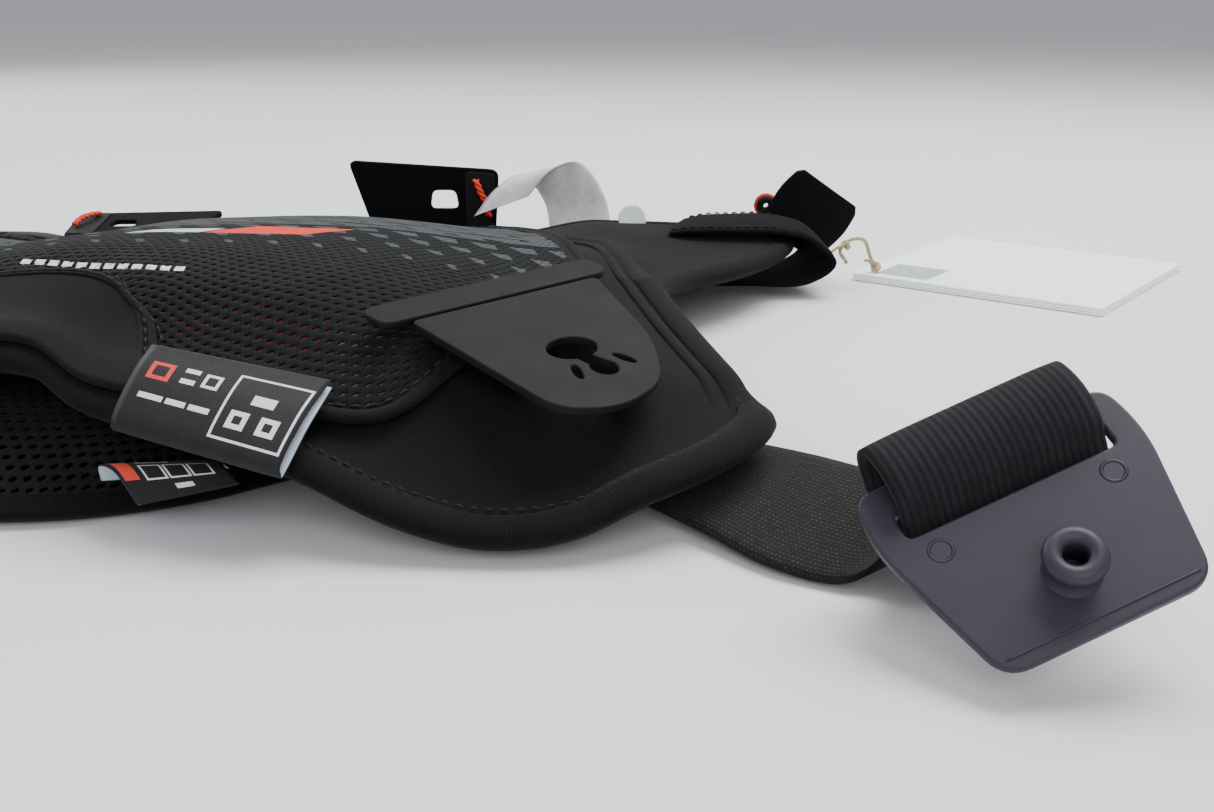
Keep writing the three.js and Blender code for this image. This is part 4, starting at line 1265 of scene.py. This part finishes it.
folded_label("woven_flag", "front_panel", "black_label", "woven_label", 41.0, [
    ((62.4, -124.0, 35.4), (20.2, -3.8, -3)), ((59.8, -134.2, 31.2), (19.6, -6, -3)),
    ((56.8, -143.0, 23.4), (19.2, -7, -2.8)), ((56.8, -142.6, 21.2), (19.2, -7, -2.8)),
    ((57.6, -140.6, 22.4), (19.2, -7, -2.8)), ((60.2, -133.6, 28.8), (19.6, -6, -3)),
    ((62.4, -123.6, 33.6), (20.2, -3.8, -3)),
], 0.45, [LABEL_BACK, LABEL], 110, 24, rim=1)
folded_label("size_label_fold", "back_panel", "black_label", "size_label", 24.8, [
    ((44, -125.5, 10), (13, 4, 0)), ((44.5, -130.5, 14.4), (12.5, 1.5, 0)),
    ((48.5, -136.2, 15.4), (12, -0.5, 0.8)), ((54, -141.5, 11.5), (11.5, -1.5, 3)),
], 0.6, [LABEL_BACK, SIZE_LABEL], 40, 24, rim=1)
folded_label("care_ribbon", "back_panel", "white_satin", "care_label", 26.4, [
    ((131, 164, 7.6), (13, 2, 0)), ((128, 166, 25), (13, 2, 1)), ((118, 160, 39), (12.4, 4.5, 2)),
    ((107, 150, 36), (11.4, 6, 3)), ((98, 142, 26), (10.8, 7, 3)),
], 0.4, [SATIN], 90, 14, 0.3)

# ---- collar tabs ---------------------------------------------------------------------------------
collar_outline = round_corners([(-24, 2), (28, 0), (30, 29), (-34, 33)], 4)
collar_slot = round_corners([(0.4, 12.6), (12.6, 12.6), (11.4, 20.4), (1.6, 20.4)], 2.6)
smooth_half = round_corners([(15.5, 2.2), (26.8, 1.6), (28.6, 27.4), (15.5, 28.4)], 2.5)
LAID_BACK = (Matrix.Translation((0, 158.0, 9.2)) @ Matrix.Rotation(math.radians(-80.0), 4, "X")
             @ Matrix.Translation((0, -158.0, -9.2)))


def laid(points, sign):
    """Points of a collar piece, reflected and laid back on the wearer's right."""
    if sign > 0:
        return points
    return [np.array(LAID_BACK @ Vector((-p[0], p[1], p[2]))) for p in np.asarray(points, float)]


for side, sign in SIDES:
    place = frame_matrix((1, 0, 0), (0, 0, 1), (0, -1, 0), (66.0, 158.0, 10.0), sign)
    if sign < 0:
        place = LAID_BACK @ place
    velour = plate_from_outline("velour", collar_outline, [collar_slot], 2.4, LOOP_PILE, place, 0.6)
    moulded = plate_from_outline("moulded", smooth_half, [], 0.9, TPU,
                                 place @ Matrix.Translation((0, 0, 1.3)), 0.3)
    finish_piece(join(f"collar_strap_tab_{side}", [velour, moulded]), f"collar_tab_{side}",
                 [f"collar_tab_{side}"])
    drop = np.array([(86.2, 155.4, 35), (88.2, 154.4, 30), (90.6, 154.4, 25), (91.4, 155.0, 19.6)])
    cord_track = Track(drop)
    share = np.linspace(0, 1, 60)
    plies = []
    for phase in (0.0, math.pi):
        turn = share * cord_track.length / 5.5 * 2 * math.pi + phase
        swing = np.stack([np.cos(turn), 0.5 * np.sin(turn), 0.0 * turn], -1)
        plies.append(tube("ply", laid(cord_track.at(share) + 0.75 * swing, sign), 0.8, ORANGE, 8, 90))
    finish_piece(join(f"collar_pull_cord_{side}", plies), f"collar_tab_{side}",
                 [f"collar_cord_{side}"])

# ---- hang tag ------------------------------------------------------------------------------------
TAG_AT = (241.0, 118.0, 1.7)
tag_turn = math.radians(7.0) - math.pi / 4
tag_frame = Matrix.Translation(TAG_AT) @ Matrix.Rotation(tag_turn, 4, "Z")
tag_outline = round_corners([(0, 0), (100, 0), (100, 100), (0, 100)], 1.5)
leaves = [plate_from_outline("leaf", tag_outline, [ellipse(7, 7, 2, 2)], 0.9, CARD,
                             tag_frame @ Matrix.Translation((0, 0, dz)), 0.12) for dz in (-1.03, 0, 1.03)]
print_frame = tag_frame @ Matrix.Translation((0, 0, 1.5))
leaves.append(plate_from_outline("patch", round_corners([(8, 5), (30, 5), (30, 27), (8, 27)], 0.6), [], 0.1,
                                 CARD_GREEN, print_frame, 0.02))
tag = join("swing_tag", leaves)
finish_piece(tag, "hang_tag", ["hang_tag"])

# ---- floor, light and world ----------------------------------------------------------------------
bpy.ops.mesh.primitive_plane_add(size=80.0, location=(0, 0, 0))
floor = bpy.context.object
floor.name = "floor"
floor_look = Look("floor", (0.70, 0.70, 0.71), 0.9, Specular_IOR_Level=0.1)
floor_look.paint(floor_look.vary(300.0, 0.02))
floor.data.materials.append(floor_look.material)


def area_light(name, at, aim, size, power):
    data = bpy.data.lights.new(name, "AREA")
    data.size = size
    data.energy = power
    light = bpy.data.objects.new(name, data)
    bpy.context.scene.collection.objects.link(light)
    light.location = at
    light.rotation_euler = (Vector(aim) - Vector(at)).to_track_quat("-Z", "Y").to_euler()


area_light("key", (0.5, 0.3, 1.1), (0.08, -0.05, 0.0), 0.9, 26.0)
area_light("front", (0.2, -1.3, 0.7), (0.1, -0.1, 0.0), 1.0, 12.0)
area_light("rim", (-0.9, 0.9, 0.8), (0.0, 0.0, 0.0), 0.8, 12.0)
world = bpy.data.worlds.new("studio")
world.use_nodes = True
world.node_tree.nodes["Background"].inputs["Color"].default_value = (0.85, 0.88, 0.92, 1.0)
world.node_tree.nodes["Background"].inputs["Strength"].default_value = 0.6
bpy.context.scene.world = world
